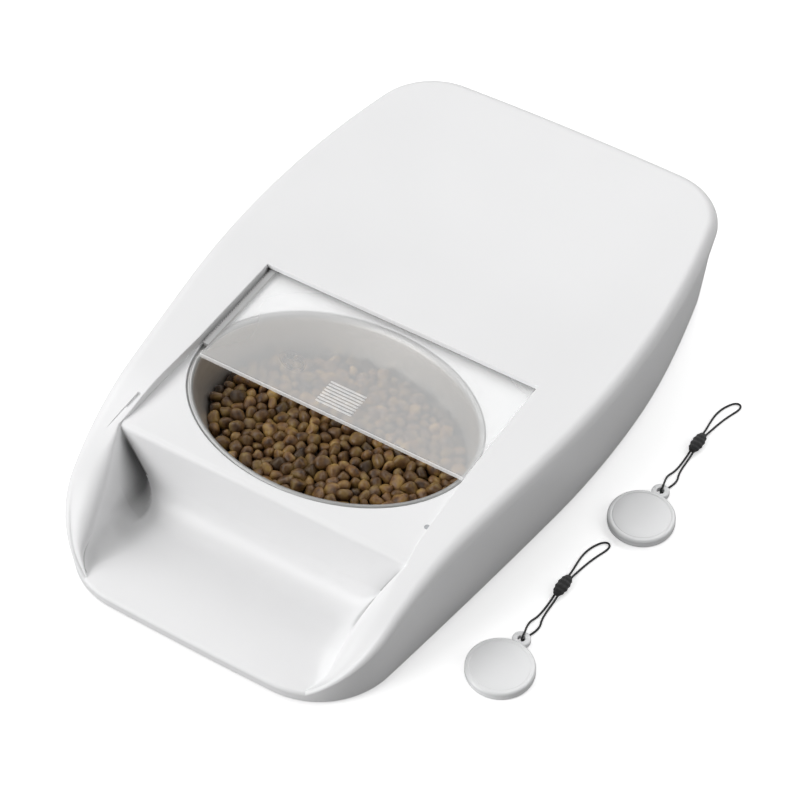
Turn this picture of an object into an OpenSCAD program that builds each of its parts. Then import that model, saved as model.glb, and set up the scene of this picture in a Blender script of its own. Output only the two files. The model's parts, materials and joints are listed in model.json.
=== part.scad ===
// Microchip pet feeder: a low housing with a front scoop, a food bowl under a
// motor-driven sliding lid, and two collar tags that open it.
// Millimetres. +Z is up, the pet stands on the -Y side, +X is to the pet's right.
// The origin is on the floor, under the middle of the housing.

/* [Body] */
// Length of the housing over its widest line
body_len = 335; // [320:1:350]
// Width of the housing over its widest line
body_w = 208; // [200:1:216]
// Height of the flat top above the floor
body_h = 54; // [50:1:58]
// Wall thickness of the housing's sides
wall = 2.4; // [2:0.1:3]
// Thickness of the top over the mechanism
roof_t = 1.7; // [1.4:0.1:2]
// How far the sides draw in from the widest line to the floor
side_draft = 4; // [3:0.1:5]
// Further draw-in of the sides towards the rear
rear_tuck = 1.5; // [0.5:0.1:2]
// Radius along the top edge
edge_r = 6; // [4:0.1:7]
// Clear height under the housing and the base plate
ground_gap = 1.6; // [1:0.1:2]

/* [Plan outline] */
// Radius of the two front corners
front_corner_r = 43; // [38:1:48]
// Radius of the two rear corners
rear_corner_r = 34; // [30:1:40]
// Radius of the sides at the widest place
side_r = 460; // [440:10:520]
// Radius of the nearly straight flanks beside the bowl
flank_r = 3700; // [3000:100:5000]
// Angle at which the flanks leave the side curve
flank_angle = 6.9; // [6:0.1:7.5]
// Radius of the nearly straight front edge
front_r = 3000; // [2500:100:5000]
// Radius of the rear edge
rear_r = 1830; // [1500:10:2400]
// How far behind the middle the housing is widest
widest_y = 39; // [30:1:45]

/* [Arms and scoop] */
// Height of the front lip
lip_h = 8; // [7.5:0.1:9]
// Distance from the front at which the top starts to fall
slope_len = 93.5; // [90:0.5:100]
// Distance from the front at which the fall ends
lip_back = 4; // [3.6:0.1:5]
// Distance of the scoop's back wall from the front
scoop_len = 61.5; // [58:0.5:64]
// Half width of the scoop's floor at its back
scoop_floor_back = 56; // [50:1:60]
// Half width of the scoop's floor at its widest
scoop_floor_front = 64; // [60:0.5:66]
// Lean of the scoop's side walls at the back, sideways per unit of height
scoop_lean = 0.47; // [0.3:0.01:0.5]

/* [Deck and bowl] */
// Depth of the deck below the flat top
deck_drop = 5; // [4.5:0.1:6]
// Width of the deck under the lid's slot
deck_w_rear = 145; // [143.6:0.1:147]
// Width of the deck at its front edge
deck_w_front = 147.4; // [145:0.2:152]
// Thickness of the deck and of the scoop's shell
deck_t = 2.4; // [2:0.1:2.6]
// Distance of the lid's slot from the front
slot_from_front = 175.5; // [174:0.5:178]
// Length of the bowl's oval rim, along X
bowl_w = 142.6; // [138:0.2:143]
// Width of the bowl's oval rim, along Y
bowl_d = 106.4; // [102:0.2:107]
// Depth of the bowl
bowl_depth = 38; // [34:0.5:40]
// Thickness of the bowl's wall
bowl_t = 0.8; // [0.6:0.1:1.4]
// Width of the bowl's rim flange
rim_w = 1.4; // [1.4:0.1:3]
// Depth of the food in the bowl
food_depth = 21; // [16:0.5:24]

/* [Lid] */
// Length of the lid panel
lid_len = 124; // [122:0.5:130]
// Thickness of the lid panel
lid_t = 1.8; // [1.4:0.1:2]
// Gap between the lid and the deck
lid_gap = 0.3; // [0.3:0.05:0.5]
// Distance from the slot to the lid's front edge as stored
lid_out = 62; // [58:0.5:64]
// Number of grip ridges on the lid
ridge_count = 8; // [4:1:9]
// Distance between grip ridges
ridge_step = 1.8; // [1.5:0.1:2.4]
// Length of a grip ridge
ridge_len = 19; // [14:0.5:26]

/* [Drive] */
// Module of the rack and the gears
gear_module = 0.5; // [0.5:0.1:0.5]
// Teeth of the gear that moves the rack
drive_teeth = 30; // [24:6:30]
// Teeth of the motor's pinion
pinion_teeth = 12; // [12:1:12]
// Width of the rack, teeth and all
rack_w = 3.4; // [3:0.1:4]
// Distance of the drive gear behind the slot
gear_behind_slot = 10; // [10:0.5:11]
// Radius of the drive gear's pin
gear_pin_r = 1.5; // [1:0.1:2]

/* [Battery box] */
// Diameter of a battery cell
cell_d = 26; // [24:0.1:26.2]
// Length of a battery cell
cell_len = 50; // [44:0.5:50]
// Thickness of the inner frame's walls
frame_t = 2.5; // [2:0.1:3]

/* [Base] */
// Thickness of the base plate
base_t = 2.4; // [2:0.1:3]
// Radius of a rubber foot
foot_r = 7; // [5:0.5:8]
// Radius of a base screw's shank
screw_r = 1.45; // [1.2:0.05:1.5]

/* [Controls] */
// Radius of a rear button
button_r = 5.5; // [4:0.1:6]
// Travel of a rear button
button_travel = 1; // [0.6:0.1:1]
// Distance of a rear button from the middle
button_x = 20; // [14:1:22]
// Height of the rear buttons
button_z = 26; // [24:0.5:28]

/* [Collar tags] */
// Diameter of a collar tag
tag_d = 31; // [28:0.5:32]
// Thickness of a collar tag
tag_t = 4.6; // [4.4:0.1:5]
// Diameter of the lanyard cord
cord_d = 1; // [0.8:0.05:1.1]

/* [Hidden] */
$fn = 48;
e = 0.01;
big = 400;
led_board_t = 1;
button_fit = 0.3;
board_side = 20;
frame_screw_r = 1.25;
motor_screw_r = 0.8;
pinion_shaft_r = 1.5;
motor_screw_places = [[-4.4, 3.6], [4.4, 3.6]];
gearbox = [12, 10, 9];
motor_len = 15;
spring_turns = 4;
spring_r = 6;
shelf_end = -92;
bowl_profile = [[26, 0], [19, 0.02], [14, 0.07], [10.5, 0.16], [8, 0.3], [5.5, 0.5], [2.8, 0.75], [0.1, 1]];
function bowl_inset_at(share) = lookup(share, [for (p = bowl_profile) [p[1], p[0]]]);
half_l = body_len / 2;
half_w = body_w / 2;
front_c = [0, front_r - half_l];
side_c = [half_w - side_r, widest_y];
rear_c = [0, half_l - rear_r];
flank_c = side_c + (side_r - flank_r) * [cos(flank_angle), -sin(flank_angle)];
front_corner_c = meet(front_c, front_r - front_corner_r, flank_c, flank_r - front_corner_r);
rear_corner_c = meet(side_c, side_r - rear_corner_r, rear_c, rear_r - rear_corner_r);
middle_gap = 8;
front_start = asin(middle_gap / front_r) - 90;
front_end = bearing(front_corner_c - front_c);
corner_end = bearing(front_corner_c - flank_c);
side_end = bearing(rear_corner_c - side_c);
rear_start = bearing(rear_corner_c - rear_c);
rear_end = 90 - asin(middle_gap / rear_r);
stations = concat(
  steps(front_c, front_r, front_start, front_end, 4),
  steps(front_corner_c, front_corner_r, front_end, corner_end, 12),
  steps(flank_c, flank_r, corner_end, -flank_angle, 6),
  steps(side_c, side_r, -flank_angle, side_end, 6),
  steps(rear_corner_c, rear_corner_r, side_end, rear_start, 8),
  steps(rear_c, rear_r, rear_start, rear_end, 3),
  [[rear_c, rear_r, rear_end]]
);

wide_z = body_h - edge_r;
draft_power = 1.3;
tuck_start = widest_y + 21;
tuck_run = 80;
tuck_height = 15;
slope_y = slope_len - half_l;
slope_run = slope_len - lip_back;
slope_fall = body_h - lip_h;
slope_r = (slope_run ^ 2 + slope_fall ^ 2) / (2 * slope_fall);
skirt_round = 0.6;

scoop_y = scoop_len - half_l;
scoop_z = lip_h + 0.2;
scoop_wide_y = scoop_y - 44;
scoop_tip_drop = 14;
scoop_tip_run = 13;
deck_z = body_h - deck_drop;
slot_y = slot_from_front - half_l;
deck_tail = 2;
deck_turn_run = 40;
bowl_ahead = 54.4;
bowl_y = slot_y - bowl_ahead;
deck_turn_y = bowl_y + 1.4;
bowl_fit = 0.25;
bowl_ledge = 1.6;
rim_t = 1.4;

lid_z = deck_z + lid_gap;
lid_top = lid_z + lid_t;
lid_front = slot_y - lid_out;
lid_half = deck_w_rear / 2 - 1.5;
lip_bar = 2.5;
ridge_h = 0.4;
ridge_w = 0.9;
ridge_x = 1;
ridge_y = lid_front + 4.5;

pitch = PI * gear_module;
tooth_thin = 0.12;
addendum = 0.8 * gear_module;
dedendum = 1.15 * gear_module;
pressure = 20;
gear_play = 0.05;
drive_r = gear_module * drive_teeth / 2;
pinion_r = gear_module * pinion_teeth / 2;
rack_line = -lid_half - addendum + 0.3;
rack_inner = rack_line - addendum + rack_w;
gear_pos = [rack_line - drive_r - gear_play, slot_y + gear_behind_slot];
pinion_angle = 126;
pinion_pos = gear_pos + (drive_r + pinion_r + gear_play) * [cos(pinion_angle), sin(pinion_angle)];
mesh_z = lid_z - 0.4;
mesh_t = 2.3;
shelf_z = 42;
shelf_t = 2;
boss_h = 1.2;
hub_gap = 0.1;
pin_gap = 0.05;

base_z = ground_gap;
base_top = base_z + base_t;
base_fit = 0.25;
post_r = 3.5;
post_h = 12;
post_places = [[half_w - 34, half_l - 27.5], [half_w - 16, slot_y - 18], [half_w - 29, scoop_y - 6]];
foot_places = [[half_w - 42, 29.5 - half_l], [half_w - 24, half_l - 62.5], [0, 0]];
foot_sink = 0.6;
screw_head_r = 3;
screw_head_t = 1.5;

plate_t = 0.5;
cell_room = 4;
cell_gap = 3;
cell_lift = 0.3;
box_half = cell_len + cell_room;
box_y = slot_y + 15;
box_d = 2 * cell_d + cell_gap + 2;
cell_y = [box_y + 1 + cell_d / 2, box_y + 1 + 1.5 * cell_d + cell_gap];
cell_z = base_top + cell_lift + cell_d / 2;
box_top = base_top + cell_d + 2;
nub_r = 3.2;
nub_h = 1.2;
spring_wire = 0.8;
frame_out = box_half + frame_t;
frame_rear = slot_y + lid_len;
rail_top = lid_z - 0.3;
tab_z = base_top + 6;
tab_places = [[frame_out + 8, box_y + 5], [frame_out + 8, frame_rear - 10]];
limit_len = 12;
limit_out = 6;
limit_high = 8;
limit_front = 8;
limit_rear = 14;
door_gap = 0.3;
door_relief = 0.5;
hinge_y = box_y + box_d + 1.2;
hinge_z = base_z + base_t / 2;
barrel_r = base_t / 2;
barrel_x = [-40, 28];
barrel_len = 12;
hinge_pin_r = 0.6;

button_board_y = half_l - 16.5;
board_w = 2 * box_half - 8;
board_t = 1.6;
board_y = box_y + box_d + frame_t + 7.5;
board_d = button_board_y - 6 - board_y;
board_z = base_top + 4;
board_hole_inset = 5;
board_holes = [for (x = [-1, 1], y = [board_y + board_hole_inset, board_y + board_d - board_hole_inset])
  [x * (board_w / 2 - board_hole_inset), y]];
button_board_w = 68;
switch_d = 3.4;
plunger = 1;
button_stem_y = button_board_y + board_t + switch_d + plunger + button_travel + 0.4;
button_face_y = half_l - 1.9;
flange_y = half_l - 6.5;
flange_t = 1.6;
lens_ahead = 37.4;
lens_in = 2.1;
lens = [deck_w_front / 2 - lens_in, bowl_y - lens_ahead];
lens_r = 1.3;
led_z = 42;

notch_out = 2.4;
notch_behind = 13.5;
notch = [max(deck_w_front, deck_w_rear) / 2 + notch_out, scoop_y + notch_behind];
notch_size = [2, 9];
notch_deep = 1.6;

tag_places = [[half_w + 26.5, 5], [half_w + 15.7, -101.2]];
tag_mid = 2.3;
tag_bevel = 0.8;
tag_wall = 1;
lug_y = 18;
lug_r = 4.2;
lug_hole_r = 1.7;
lug_low = 1.15;
lug_high = 3.85;
coil_out = tag_d / 2 - 3.5;
coil_in = coil_out - 3;
chip_w = 4;
knot_y = 54;
knot_size = [3, 6.4, 2.3];
tag_route = [
  [-0.75, 56.5, 2.0], [-0.75, 60.0, 1.5], [-1.0, 64.0, 0.7], [-1.4, 68.0, 0.5],
  [-1.7, 72.5, 0.5], [-1.5, 76.5, 0.5], [-0.6, 80.5, 0.5], [1.0, 84.0, 0.5],
  [2.8, 86.5, 0.5], [4.9, 87.1, 0.5], [6.3, 85.6, 0.5], [6.0, 82.8, 0.5],
  [4.6, 79.0, 0.5], [3.3, 75.0, 0.5], [2.2, 70.5, 0.5], [1.3, 65.5, 0.6],
  [0.8, 60.5, 1.5], [0.75, 55.0, 2.0], [0.75, 49.5, 1.6], [0.75, 44.5, 0.6],
  [0.75, 38.5, 0.5], [1.2, 33.5, 0.5], [2.4, 30.3, 0.5], [2.2, 27.0, 0.5],
  [1.1, 23.8, 0.5], [0.2, 20.9, 0.5], [0.0, 18.9, 0.9], [0.0, 18.0, 2.5],
  [0.0, 18.9, 4.1], [-0.2, 20.9, 4.5], [-1.0, 23.6, 3.9], [-2.0, 27.0, 2.0],
  [-2.5, 30.4, 0.7], [-1.3, 33.6, 0.5], [-0.75, 38.5, 0.5], [-0.75, 44.5, 0.6],
  [-0.75, 49.0, 1.5], [-0.75, 52.0, 1.9]
];

function unit(v) = v / norm(v);
function bearing(v) = atan2(v[1], v[0]);
function ease(t) = let (u = min(1, max(0, t))) u * u * (3 - 2 * u);

// The point at distance reach_a from a and reach_b from b, on the +X side
function meet(a, reach_a, b, reach_b) =
  let (v = b - a, d = norm(v), along = (reach_a ^ 2 - reach_b ^ 2 + d ^ 2) / (2 * d))
  a + v / d * along + sqrt(reach_a ^ 2 - along ^ 2) * [-v[1], v[0]] / d;

// Stations of an arc: centre, radius and angle, without the arc's end
function steps(centre, radius, from, to, count) =
  [for (i = [0 : count - 1]) [centre, radius, from + (to - from) * i / count]];

function outline_point(s, inset) = s[0] + (s[1] - inset) * [cos(s[2]), sin(s[2])];

// How far the side wall stands inside the widest line at height z
function draw_in(z, y) =
  let (down = max(0, wide_z - z))
  side_draft * (down / wide_z) ^ draft_power
    + rear_tuck * ease((y - tuck_start) / tuck_run) * min(1, down / tuck_height);

// Height of the top, which falls along the arms in an arc
function top_z(y) =
  y > slope_y ? body_h
  : y > slope_y - slope_run ? body_h - slope_r + sqrt(slope_r ^ 2 - (slope_y - y) ^ 2)
  : lip_h;
function top_slope(y) =
  let (run = min(slope_run, max(0, slope_y - y)))
  run / sqrt(slope_r ^ 2 - run ^ 2);
function edge_at(y) = max(1.5, edge_r * (top_z(y) - base_z) / (body_h - base_z));

// A ring of points, right side from front to rear and left side back again
function ring(right) =
  concat(right, [for (i = [len(right) - 1 : -1 : 0]) [-right[i][0], right[i][1], right[i][2]]]);

function place(s, inset, z) = let (p = outline_point(s, inset)) [p[0], p[1], z];

function wall_ring(extra, share, low) = ring([for (s = stations)
  let (y = outline_point(s, 0)[1], z = low + (top_z(y) - edge_at(y) - low) * share)
  place(s, draw_in(z, y) + extra, z)]);

function edge_ring(turn) = ring([for (s = stations)
  let (y = outline_point(s, 0)[1], r = edge_at(y), z = top_z(y) - r)
  place(s, draw_in(z, y) + r * (1 - cos(turn)), z + r * sin(turn))]);

function cavity_top(y) = top_z(y) - roof_t * sqrt(1 + top_slope(y) ^ 2);
function cavity_side(y) = min(top_z(y) - edge_at(y), cavity_top(y) - 0.6);

function cavity_ring(share) = ring([for (s = stations)
  let (y = outline_point(s, 0)[1], z = -1 + (cavity_side(y) + 1) * share)
  place(s, draw_in(z, y) + wall, z)]);

function cavity_edge(turn) = ring([for (s = stations)
  let (y = outline_point(s, 0)[1], z = cavity_side(y), r = max(edge_at(y), wall))
  place(s, draw_in(z, y) + r - (r - wall) * cos(turn), z + (cavity_top(y) - z) * sin(turn))]);

function plan_outline(z, extra) = [for (p = ring([for (s = stations)
  place(s, draw_in(z, outline_point(s, 0)[1]) + extra, 0)])) [p[0], p[1]]];

// Half width of the deck at y
function deck_half(y) =
  (deck_w_rear + (deck_w_front - deck_w_rear) * ease((deck_turn_y - y) / deck_turn_run)) / 2;

// Half width of the scoop's floor at y
function scoop_half(y) =
  let (t = (y - scoop_wide_y) / (scoop_y - scoop_wide_y), u = (scoop_wide_y - y) / scoop_tip_run)
  y > scoop_wide_y
    ? scoop_floor_front - (scoop_floor_front - scoop_floor_back) * t ^ 1.6
    : scoop_floor_front - scoop_tip_drop * u ^ 2;
function scoop_lean_at(y) = scoop_lean * max(0, (y - scoop_wide_y) / (scoop_y - scoop_wide_y));

function ellipse_ring(half_x, half_y, z, count) = [for (i = [0 : count - 1])
  let (a = 360 * i / count) [half_x * cos(a), bowl_y + half_y * sin(a), z]];

function tooth_inv(a) = tan(a) * 180 / PI - a;

// A spur gear's outline, with a tooth gap at angle 0
function gear_outline(teeth) =
  let (
    r = gear_module * teeth / 2,
    base_r = r * cos(pressure),
    root = r - dedendum,
    tip = r + addendum,
    half = 90 / teeth - tooth_thin / 2 / r * 90 / PI,
    levels = [root, max(base_r, root + e), (max(base_r, root) + tip) / 2, tip]
  )
  [for (i = [0 : teeth - 1], side = [-1, 1], k = [0 : 3])
    let (
      q = side < 0 ? levels[k] : levels[3 - k],
      spread = half + tooth_inv(pressure) - tooth_inv(acos(min(1, base_r / max(q, base_r)))),
      a = (i + 0.5) * 360 / teeth + side * spread
    )
    q * [cos(a), sin(a)]];

function tangents(path) = [for (i = [0 : len(path) - 1])
  unit(path[min(i + 1, len(path) - 1)] - path[max(i - 1, 0)])];
function carried(lines, v, i, out) =
  i == len(lines) ? out
  : let (n = unit(v - (v * lines[i]) * lines[i])) carried(lines, n, i + 1, concat(out, [n]));

// A body between rings that each hold the same number of points
module loft(rings) {
  count = len(rings[0]);
  half = count / 2;
  last = len(rings) - 1;
  polyhedron(
    points = [for (r = rings, p = r) p],
    faces = concat(
      [for (k = [0 : last - 1], i = [0 : count - 1])
        let (j = (i + 1) % count, a = k * count, b = a + count) [a + i, b + i, b + j]],
      [for (k = [0 : last - 1], i = [0 : count - 1])
        let (j = (i + 1) % count, a = k * count, b = a + count) [a + i, b + j, a + j]],
      [for (i = [0 : half - 2]) [i, i + 1, count - 2 - i, count - 1 - i]],
      [for (i = [0 : half - 2])
        let (t = last * count) [t + count - 1 - i, t + count - 2 - i, t + i + 1, t + i]]
    )
  );
}

// A round tube along a path of points
module tube(path, r, sides) {
  lines = tangents(path);
  ups = carried(lines, abs(lines[0][2]) > 0.9 ? [1, 0, 0] : [0, 0, 1], 0, []);
  last = len(path) - 1;
  polyhedron(
    points = [for (i = [0 : last], k = [0 : sides - 1])
      path[i] + r * (cos(360 * k / sides) * ups[i] + sin(360 * k / sides) * cross(lines[i], ups[i]))],
    faces = concat(
      [for (i = [0 : last - 1], k = [0 : sides - 1])
        let (m = (k + 1) % sides, a = i * sides, b = a + sides) [a + k, b + k, b + m]],
      [for (i = [0 : last - 1], k = [0 : sides - 1])
        let (m = (k + 1) % sides, a = i * sides, b = a + sides) [a + k, b + m, a + m]],
      [[for (k = [0 : sides - 1]) k]],
      [[for (k = [sides - 1 : -1 : 0]) last * sides + k]]
    )
  );
}

module block(low, high) {
  translate(low)
    cube(high - low);
}

module rod(place, low, high, r) {
  translate([place[0], place[1], low])
    cylinder(h = high - low, r = r);
}

module both_sides(places) {
  for (p = places, side = [-1, 1])
    translate([side * p[0], p[1], 0])
      children();
}

module outer_form() {
  loft(concat(
    [ring([for (s = stations) place(s, draw_in(base_z, outline_point(s, 0)[1]) + skirt_round, base_z)])],
    [for (k = [0 : 4]) wall_ring(0, k / 4, base_z + skirt_round)],
    [for (turn = [22.5 : 22.5 : 90]) edge_ring(turn)]
  ));
}

module cavity_form() {
  loft(concat(
    [for (k = [0 : 3]) cavity_ring(k / 3)],
    [for (turn = [30 : 30 : 90]) cavity_edge(turn)]
  ));
}

module deck_plan(from, to, extra) {
  count = 12;
  right = [for (i = [0 : count]) let (y = from + (to - from) * i / count) [deck_half(y) + extra, y]];
  polygon(concat(right, [for (i = [count : -1 : 0]) [-right[i][0], right[i][1]]]));
}

// The scoop's space, grown outwards for its shell
module scoop_form(grow) {
  high = body_h + 6;
  ys = concat(
    [scoop_y + grow],
    [for (i = [1 : 6]) scoop_y + (scoop_wide_y - scoop_y) * i / 6],
    [for (i = [1 : 5]) scoop_wide_y - (scoop_tip_run + 3) * i / 5]
  );
  low_z = scoop_z - grow;
  sections = [for (y = ys)
    let (w = scoop_half(min(y, scoop_y)) + grow, lean = scoop_lean_at(min(y, scoop_y)) * (high - scoop_z))
    [[w, y, low_z], [w + lean, y, high], [-w - lean, y, high], [-w, y, low_z]]];
  last = len(sections) - 1;
  polyhedron(
    points = [for (s = sections, p = s) p],
    faces = concat(
      [for (k = [0 : last - 1], i = [0 : 3])
        let (j = (i + 1) % 4, a = k * 4, b = a + 4) [a + i, b + j, a + j]],
      [for (k = [0 : last - 1], i = [0 : 3])
        let (j = (i + 1) % 4, a = k * 4, b = a + 4) [a + i, b + i, b + j]],
      [[0, 1, 2, 3], [for (i = [3 : -1 : 0]) last * 4 + i]]
    )
  );
}

module deck_structure() {
  translate([0, 0, deck_z - deck_t])
    linear_extrude(deck_t)
      deck_plan(scoop_y, slot_y + deck_tail, wall);
  translate([0, 0, deck_z - e])
    linear_extrude(deck_drop)
      deck_plan(scoop_y, slot_y, wall);
  scoop_form(deck_t);
  both_sides(post_places)
    rod([0, 0], base_top, body_h, post_r);
  for (p = [[-4, -2.2], [3, 2.6]])
    rod(lens + p, led_z + led_board_t, deck_z - e, 1.5);
}

module top_housing() {
  color("white")
    difference() {
      outer_form();
      difference() {
        cavity_form();
        deck_structure();
      }
      translate([0, 0, deck_z])
        linear_extrude(big)
          deck_plan(scoop_y - 1, slot_y, 0);
      scoop_form(0);
      translate([0, bowl_y, deck_z - bowl_ledge])
        linear_extrude(big)
          ellipse(bowl_w / 2 + bowl_fit, bowl_d / 2 + bowl_fit);
      translate([0, bowl_y, deck_z - big / 2])
        linear_extrude(big)
          ellipse(bowl_w / 2 - rim_w + 0.5, bowl_d / 2 - rim_w + 0.5);
      for (side = [-1, 1])
        translate([side * notch[0] - notch_size[0] / 2, notch[1] - notch_size[1] / 2, top_z(notch[1]) - notch_deep])
          cube([notch_size[0], notch_size[1], big]);
      both_sides(post_places)
        rod([0, 0], base_top - 1, base_top + post_h, screw_r + pin_gap);
      rod(lens, deck_z - deck_t - 1, deck_z + 1, lens_r + pin_gap);
      for (x = [-button_x, button_x])
        translate([x, button_board_y + 10, button_z])
          rotate([-90, 0, 0])
            cylinder(h = big / 10, r = button_r + button_fit);
    }
}

module ellipse(half_x, half_y) {
  polygon([for (i = [0 : 95]) [half_x * cos(i * 3.75), half_y * sin(i * 3.75)]]);
}

module base_plate() {
  color("gainsboro")
    difference() {
      union() {
        translate([0, 0, base_z])
          linear_extrude(base_t)
            polygon(plan_outline(base_z, wall + base_fit));
        both_sides(tab_places)
          rod([0, 0], base_top - e, tab_z, post_r - 0.3);
        for (p = board_holes) {
          rod(p, base_top - e, board_z, 2.5);
          rod(p, base_top - e, board_z + board_t + 0.6, 1);
        }
        for (side = [-1, 1])
          translate([side * button_board_w / 2 - 2.5, button_board_y - 2.5, base_top - e])
            cube([5, 6.6, button_z + 8 - base_top]);
      }
      block([-box_half + 1, box_y, base_z - 1], [box_half - 1, box_y + box_d + door_relief, base_top + 1]);
      for (x = barrel_x)
        block([x - door_gap, box_y + box_d - 1, base_z - 1],
          [x + barrel_len + door_gap, hinge_y + barrel_r + door_gap, base_top + 1]);
      for (x = barrel_x)
        translate([x - 5, hinge_y, hinge_z])
          rotate([0, 90, 0])
            cylinder(h = barrel_len + 10, r = hinge_pin_r);
      both_sides(foot_places)
        rod([0, 0], base_z - 1, base_z + foot_sink, foot_r + 0.1);
      both_sides(post_places) {
        rod([0, 0], base_z - 1, base_top + 1, screw_r + 0.2);
        rod([0, 0], base_z - 1, base_z + screw_head_t + 0.1, screw_head_r + 0.2);
      }
      both_sides(tab_places)
        rod([0, 0], base_top - 1, tab_z + 1, frame_screw_r);
      translate([0, 0, button_z - board_side / 2])
        block([-button_board_w / 2 - 0.1, button_board_y - 0.1, -0.1],
          [button_board_w / 2 + 0.1, button_board_y + board_t + 0.1, big / 10]);
    }
}

module inner_frame() {
  color("whitesmoke")
    difference() {
      union() {
        for (side = [-1, 1]) {
          mid = side * (box_half + frame_t / 2);
          block([mid - frame_t / 2, box_y - frame_t, base_top], [mid + frame_t / 2, frame_rear, rail_top]);
        }
        block([-frame_out, box_y - frame_t, base_top], [frame_out, box_y, box_top + frame_t]);
        block([-frame_out, box_y + box_d, base_top], [frame_out, box_y + box_d + frame_t, box_top + frame_t]);
        block([-frame_out, box_y - frame_t, box_top], [frame_out, box_y + box_d + frame_t, box_top + frame_t]);
        block([shelf_end, box_y - frame_t - 11, shelf_z], [-box_half, pinion_pos[1] + 12, shelf_z + shelf_t]);
        rod(gear_pos, shelf_z, shelf_z + shelf_t + boss_h, 3);
        for (side = [-1, 1], p = tab_places)
          block([side * p[0] - (side > 0 ? p[0] - box_half : 4), p[1] - 4, tab_z],
            [side * p[0] + (side > 0 ? 4 : p[0] - box_half), p[1] + 4, tab_z + frame_t]);
      }
      rod(gear_pos, shelf_z - 1, shelf_z + shelf_t + boss_h + 1, gear_pin_r);
      rod(pinion_pos, shelf_z - 1, shelf_z + shelf_t + 1, pinion_shaft_r + 1);
      for (p = motor_screw_places)
        rod(pinion_pos + p, shelf_z - 1, shelf_z + shelf_t + 1, motor_screw_r + 0.1);
      both_sides(tab_places)
        rod([0, 0], tab_z - 1, tab_z + frame_t + 1, frame_screw_r + 0.15);
    }
}

module bowl() {
  rim = [bowl_w / 2, bowl_d / 2];
  top = deck_z - bowl_ledge + rim_t;
  floor_z = top - bowl_depth;
  color("dimgray")
    difference() {
      union() {
        translate([0, bowl_y, top - rim_t])
          linear_extrude(rim_t)
            ellipse(rim[0], rim[1]);
        loft([for (p = bowl_profile) ellipse_ring(rim[0] - rim_w - p[0], rim[1] - rim_w - p[0],
          floor_z - bowl_t + p[1] * (bowl_depth + bowl_t - e), 72)]);
      }
      loft([for (p = bowl_profile) ellipse_ring(rim[0] - rim_w - p[0] - bowl_t, rim[1] - rim_w - p[0] - bowl_t,
        floor_z + p[1] * (bowl_depth + 1), 72)]);
    }
}

module kibble() {
  rim = [bowl_w / 2, bowl_d / 2];
  floor_z = deck_z - bowl_ledge + rim_t - bowl_depth;
  shares = [for (p = bowl_profile) if (p[1] * (bowl_depth + 1) < food_depth) p];
  cut = bowl_inset_at(food_depth / (bowl_depth + 1));
  color("saddlebrown")
    loft(concat(
      [for (p = shares) ellipse_ring(rim[0] - rim_w - p[0] - bowl_t - 0.2, rim[1] - rim_w - p[0] - bowl_t - 0.2,
        floor_z + 0.2 + p[1] * (bowl_depth + 1), 72)],
      [for (k = [0 : 4]) let (a = k * 18, s = 1 - 0.55 * (1 - cos(a)))
        ellipse_ring((rim[0] - rim_w - cut - bowl_t - 0.2) * s, (rim[1] - rim_w - cut - bowl_t - 0.2) * s,
          floor_z + food_depth + 4 * sin(a), 72)]
    ));
}

module lid_panel() {
  color([0.8, 0.82, 0.83, 0.7]) {
    block([rack_inner, lid_front, lid_z], [lid_half, lid_front + lid_len, lid_top]);
    block([rack_inner, lid_front, lid_top - e], [lid_half, lid_front + lip_bar, lid_top + ridge_h]);
    for (i = [0 : ridge_count - 1])
      block([ridge_x - ridge_len / 2, ridge_y + i * ridge_step, lid_top - e],
        [ridge_x + ridge_len / 2, ridge_y + i * ridge_step + ridge_w, lid_top + ridge_h]);
  }
}

module lid_rack() {
  start = lid_front + 7;
  count = floor((lid_front + lid_len - start) / pitch);
  shift = gear_pos[1] - (floor((gear_pos[1] - start) / pitch) + 0.5) * pitch - start;
  half = pitch / 4 - tooth_thin / 2;
  slant = tan(pressure);
  color("lightgray")
    translate([0, 0, lid_z])
      linear_extrude(lid_t)
        polygon(concat(
          [[rack_inner, lid_front + lid_len], [rack_inner, start]],
          [[rack_line + dedendum, start]],
          [for (i = [0 : count - 1]) let (y = start + shift + (i + 0.5) * pitch)
            if (y - half - dedendum * slant > start && y + half + dedendum * slant < lid_front + lid_len)
            each [
              [rack_line + dedendum, y - half - dedendum * slant],
              [rack_line - addendum, y - half + addendum * slant],
              [rack_line - addendum, y + half - addendum * slant],
              [rack_line + dedendum, y + half + dedendum * slant]
            ]],
          [[rack_line + dedendum, lid_front + lid_len]]
        ));
}

module drive_gear() {
  hub_z = shelf_z + shelf_t + boss_h + hub_gap;
  color("ivory")
    translate([gear_pos[0], gear_pos[1], 0])
      difference() {
        union() {
          translate([0, 0, mesh_z])
            linear_extrude(mesh_t)
              polygon(gear_outline(drive_teeth));
          rod([0, 0], hub_z, mesh_z + e, 4);
        }
        rod([0, 0], hub_z - 1, mesh_z + mesh_t + 1, gear_pin_r + pin_gap);
      }
}

module gear_pin() {
  color("silver") {
    rod(gear_pos, shelf_z, mesh_z + mesh_t + 0.2, gear_pin_r);
    rod(gear_pos, mesh_z + mesh_t + 0.1, mesh_z + mesh_t + 0.7, 2.6);
  }
}

module motor_pinion() {
  color("ivory")
    translate([pinion_pos[0], pinion_pos[1], 0]) {
      translate([0, 0, mesh_z])
        rotate([0, 0, pinion_angle - 180])
          linear_extrude(mesh_t)
            polygon(gear_outline(pinion_teeth));
      rod([0, 0], shelf_z + shelf_t + 0.8, mesh_z + e, 2.2);
      rod([0, 0], shelf_z - 6, mesh_z, pinion_shaft_r);
    }
}

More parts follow.
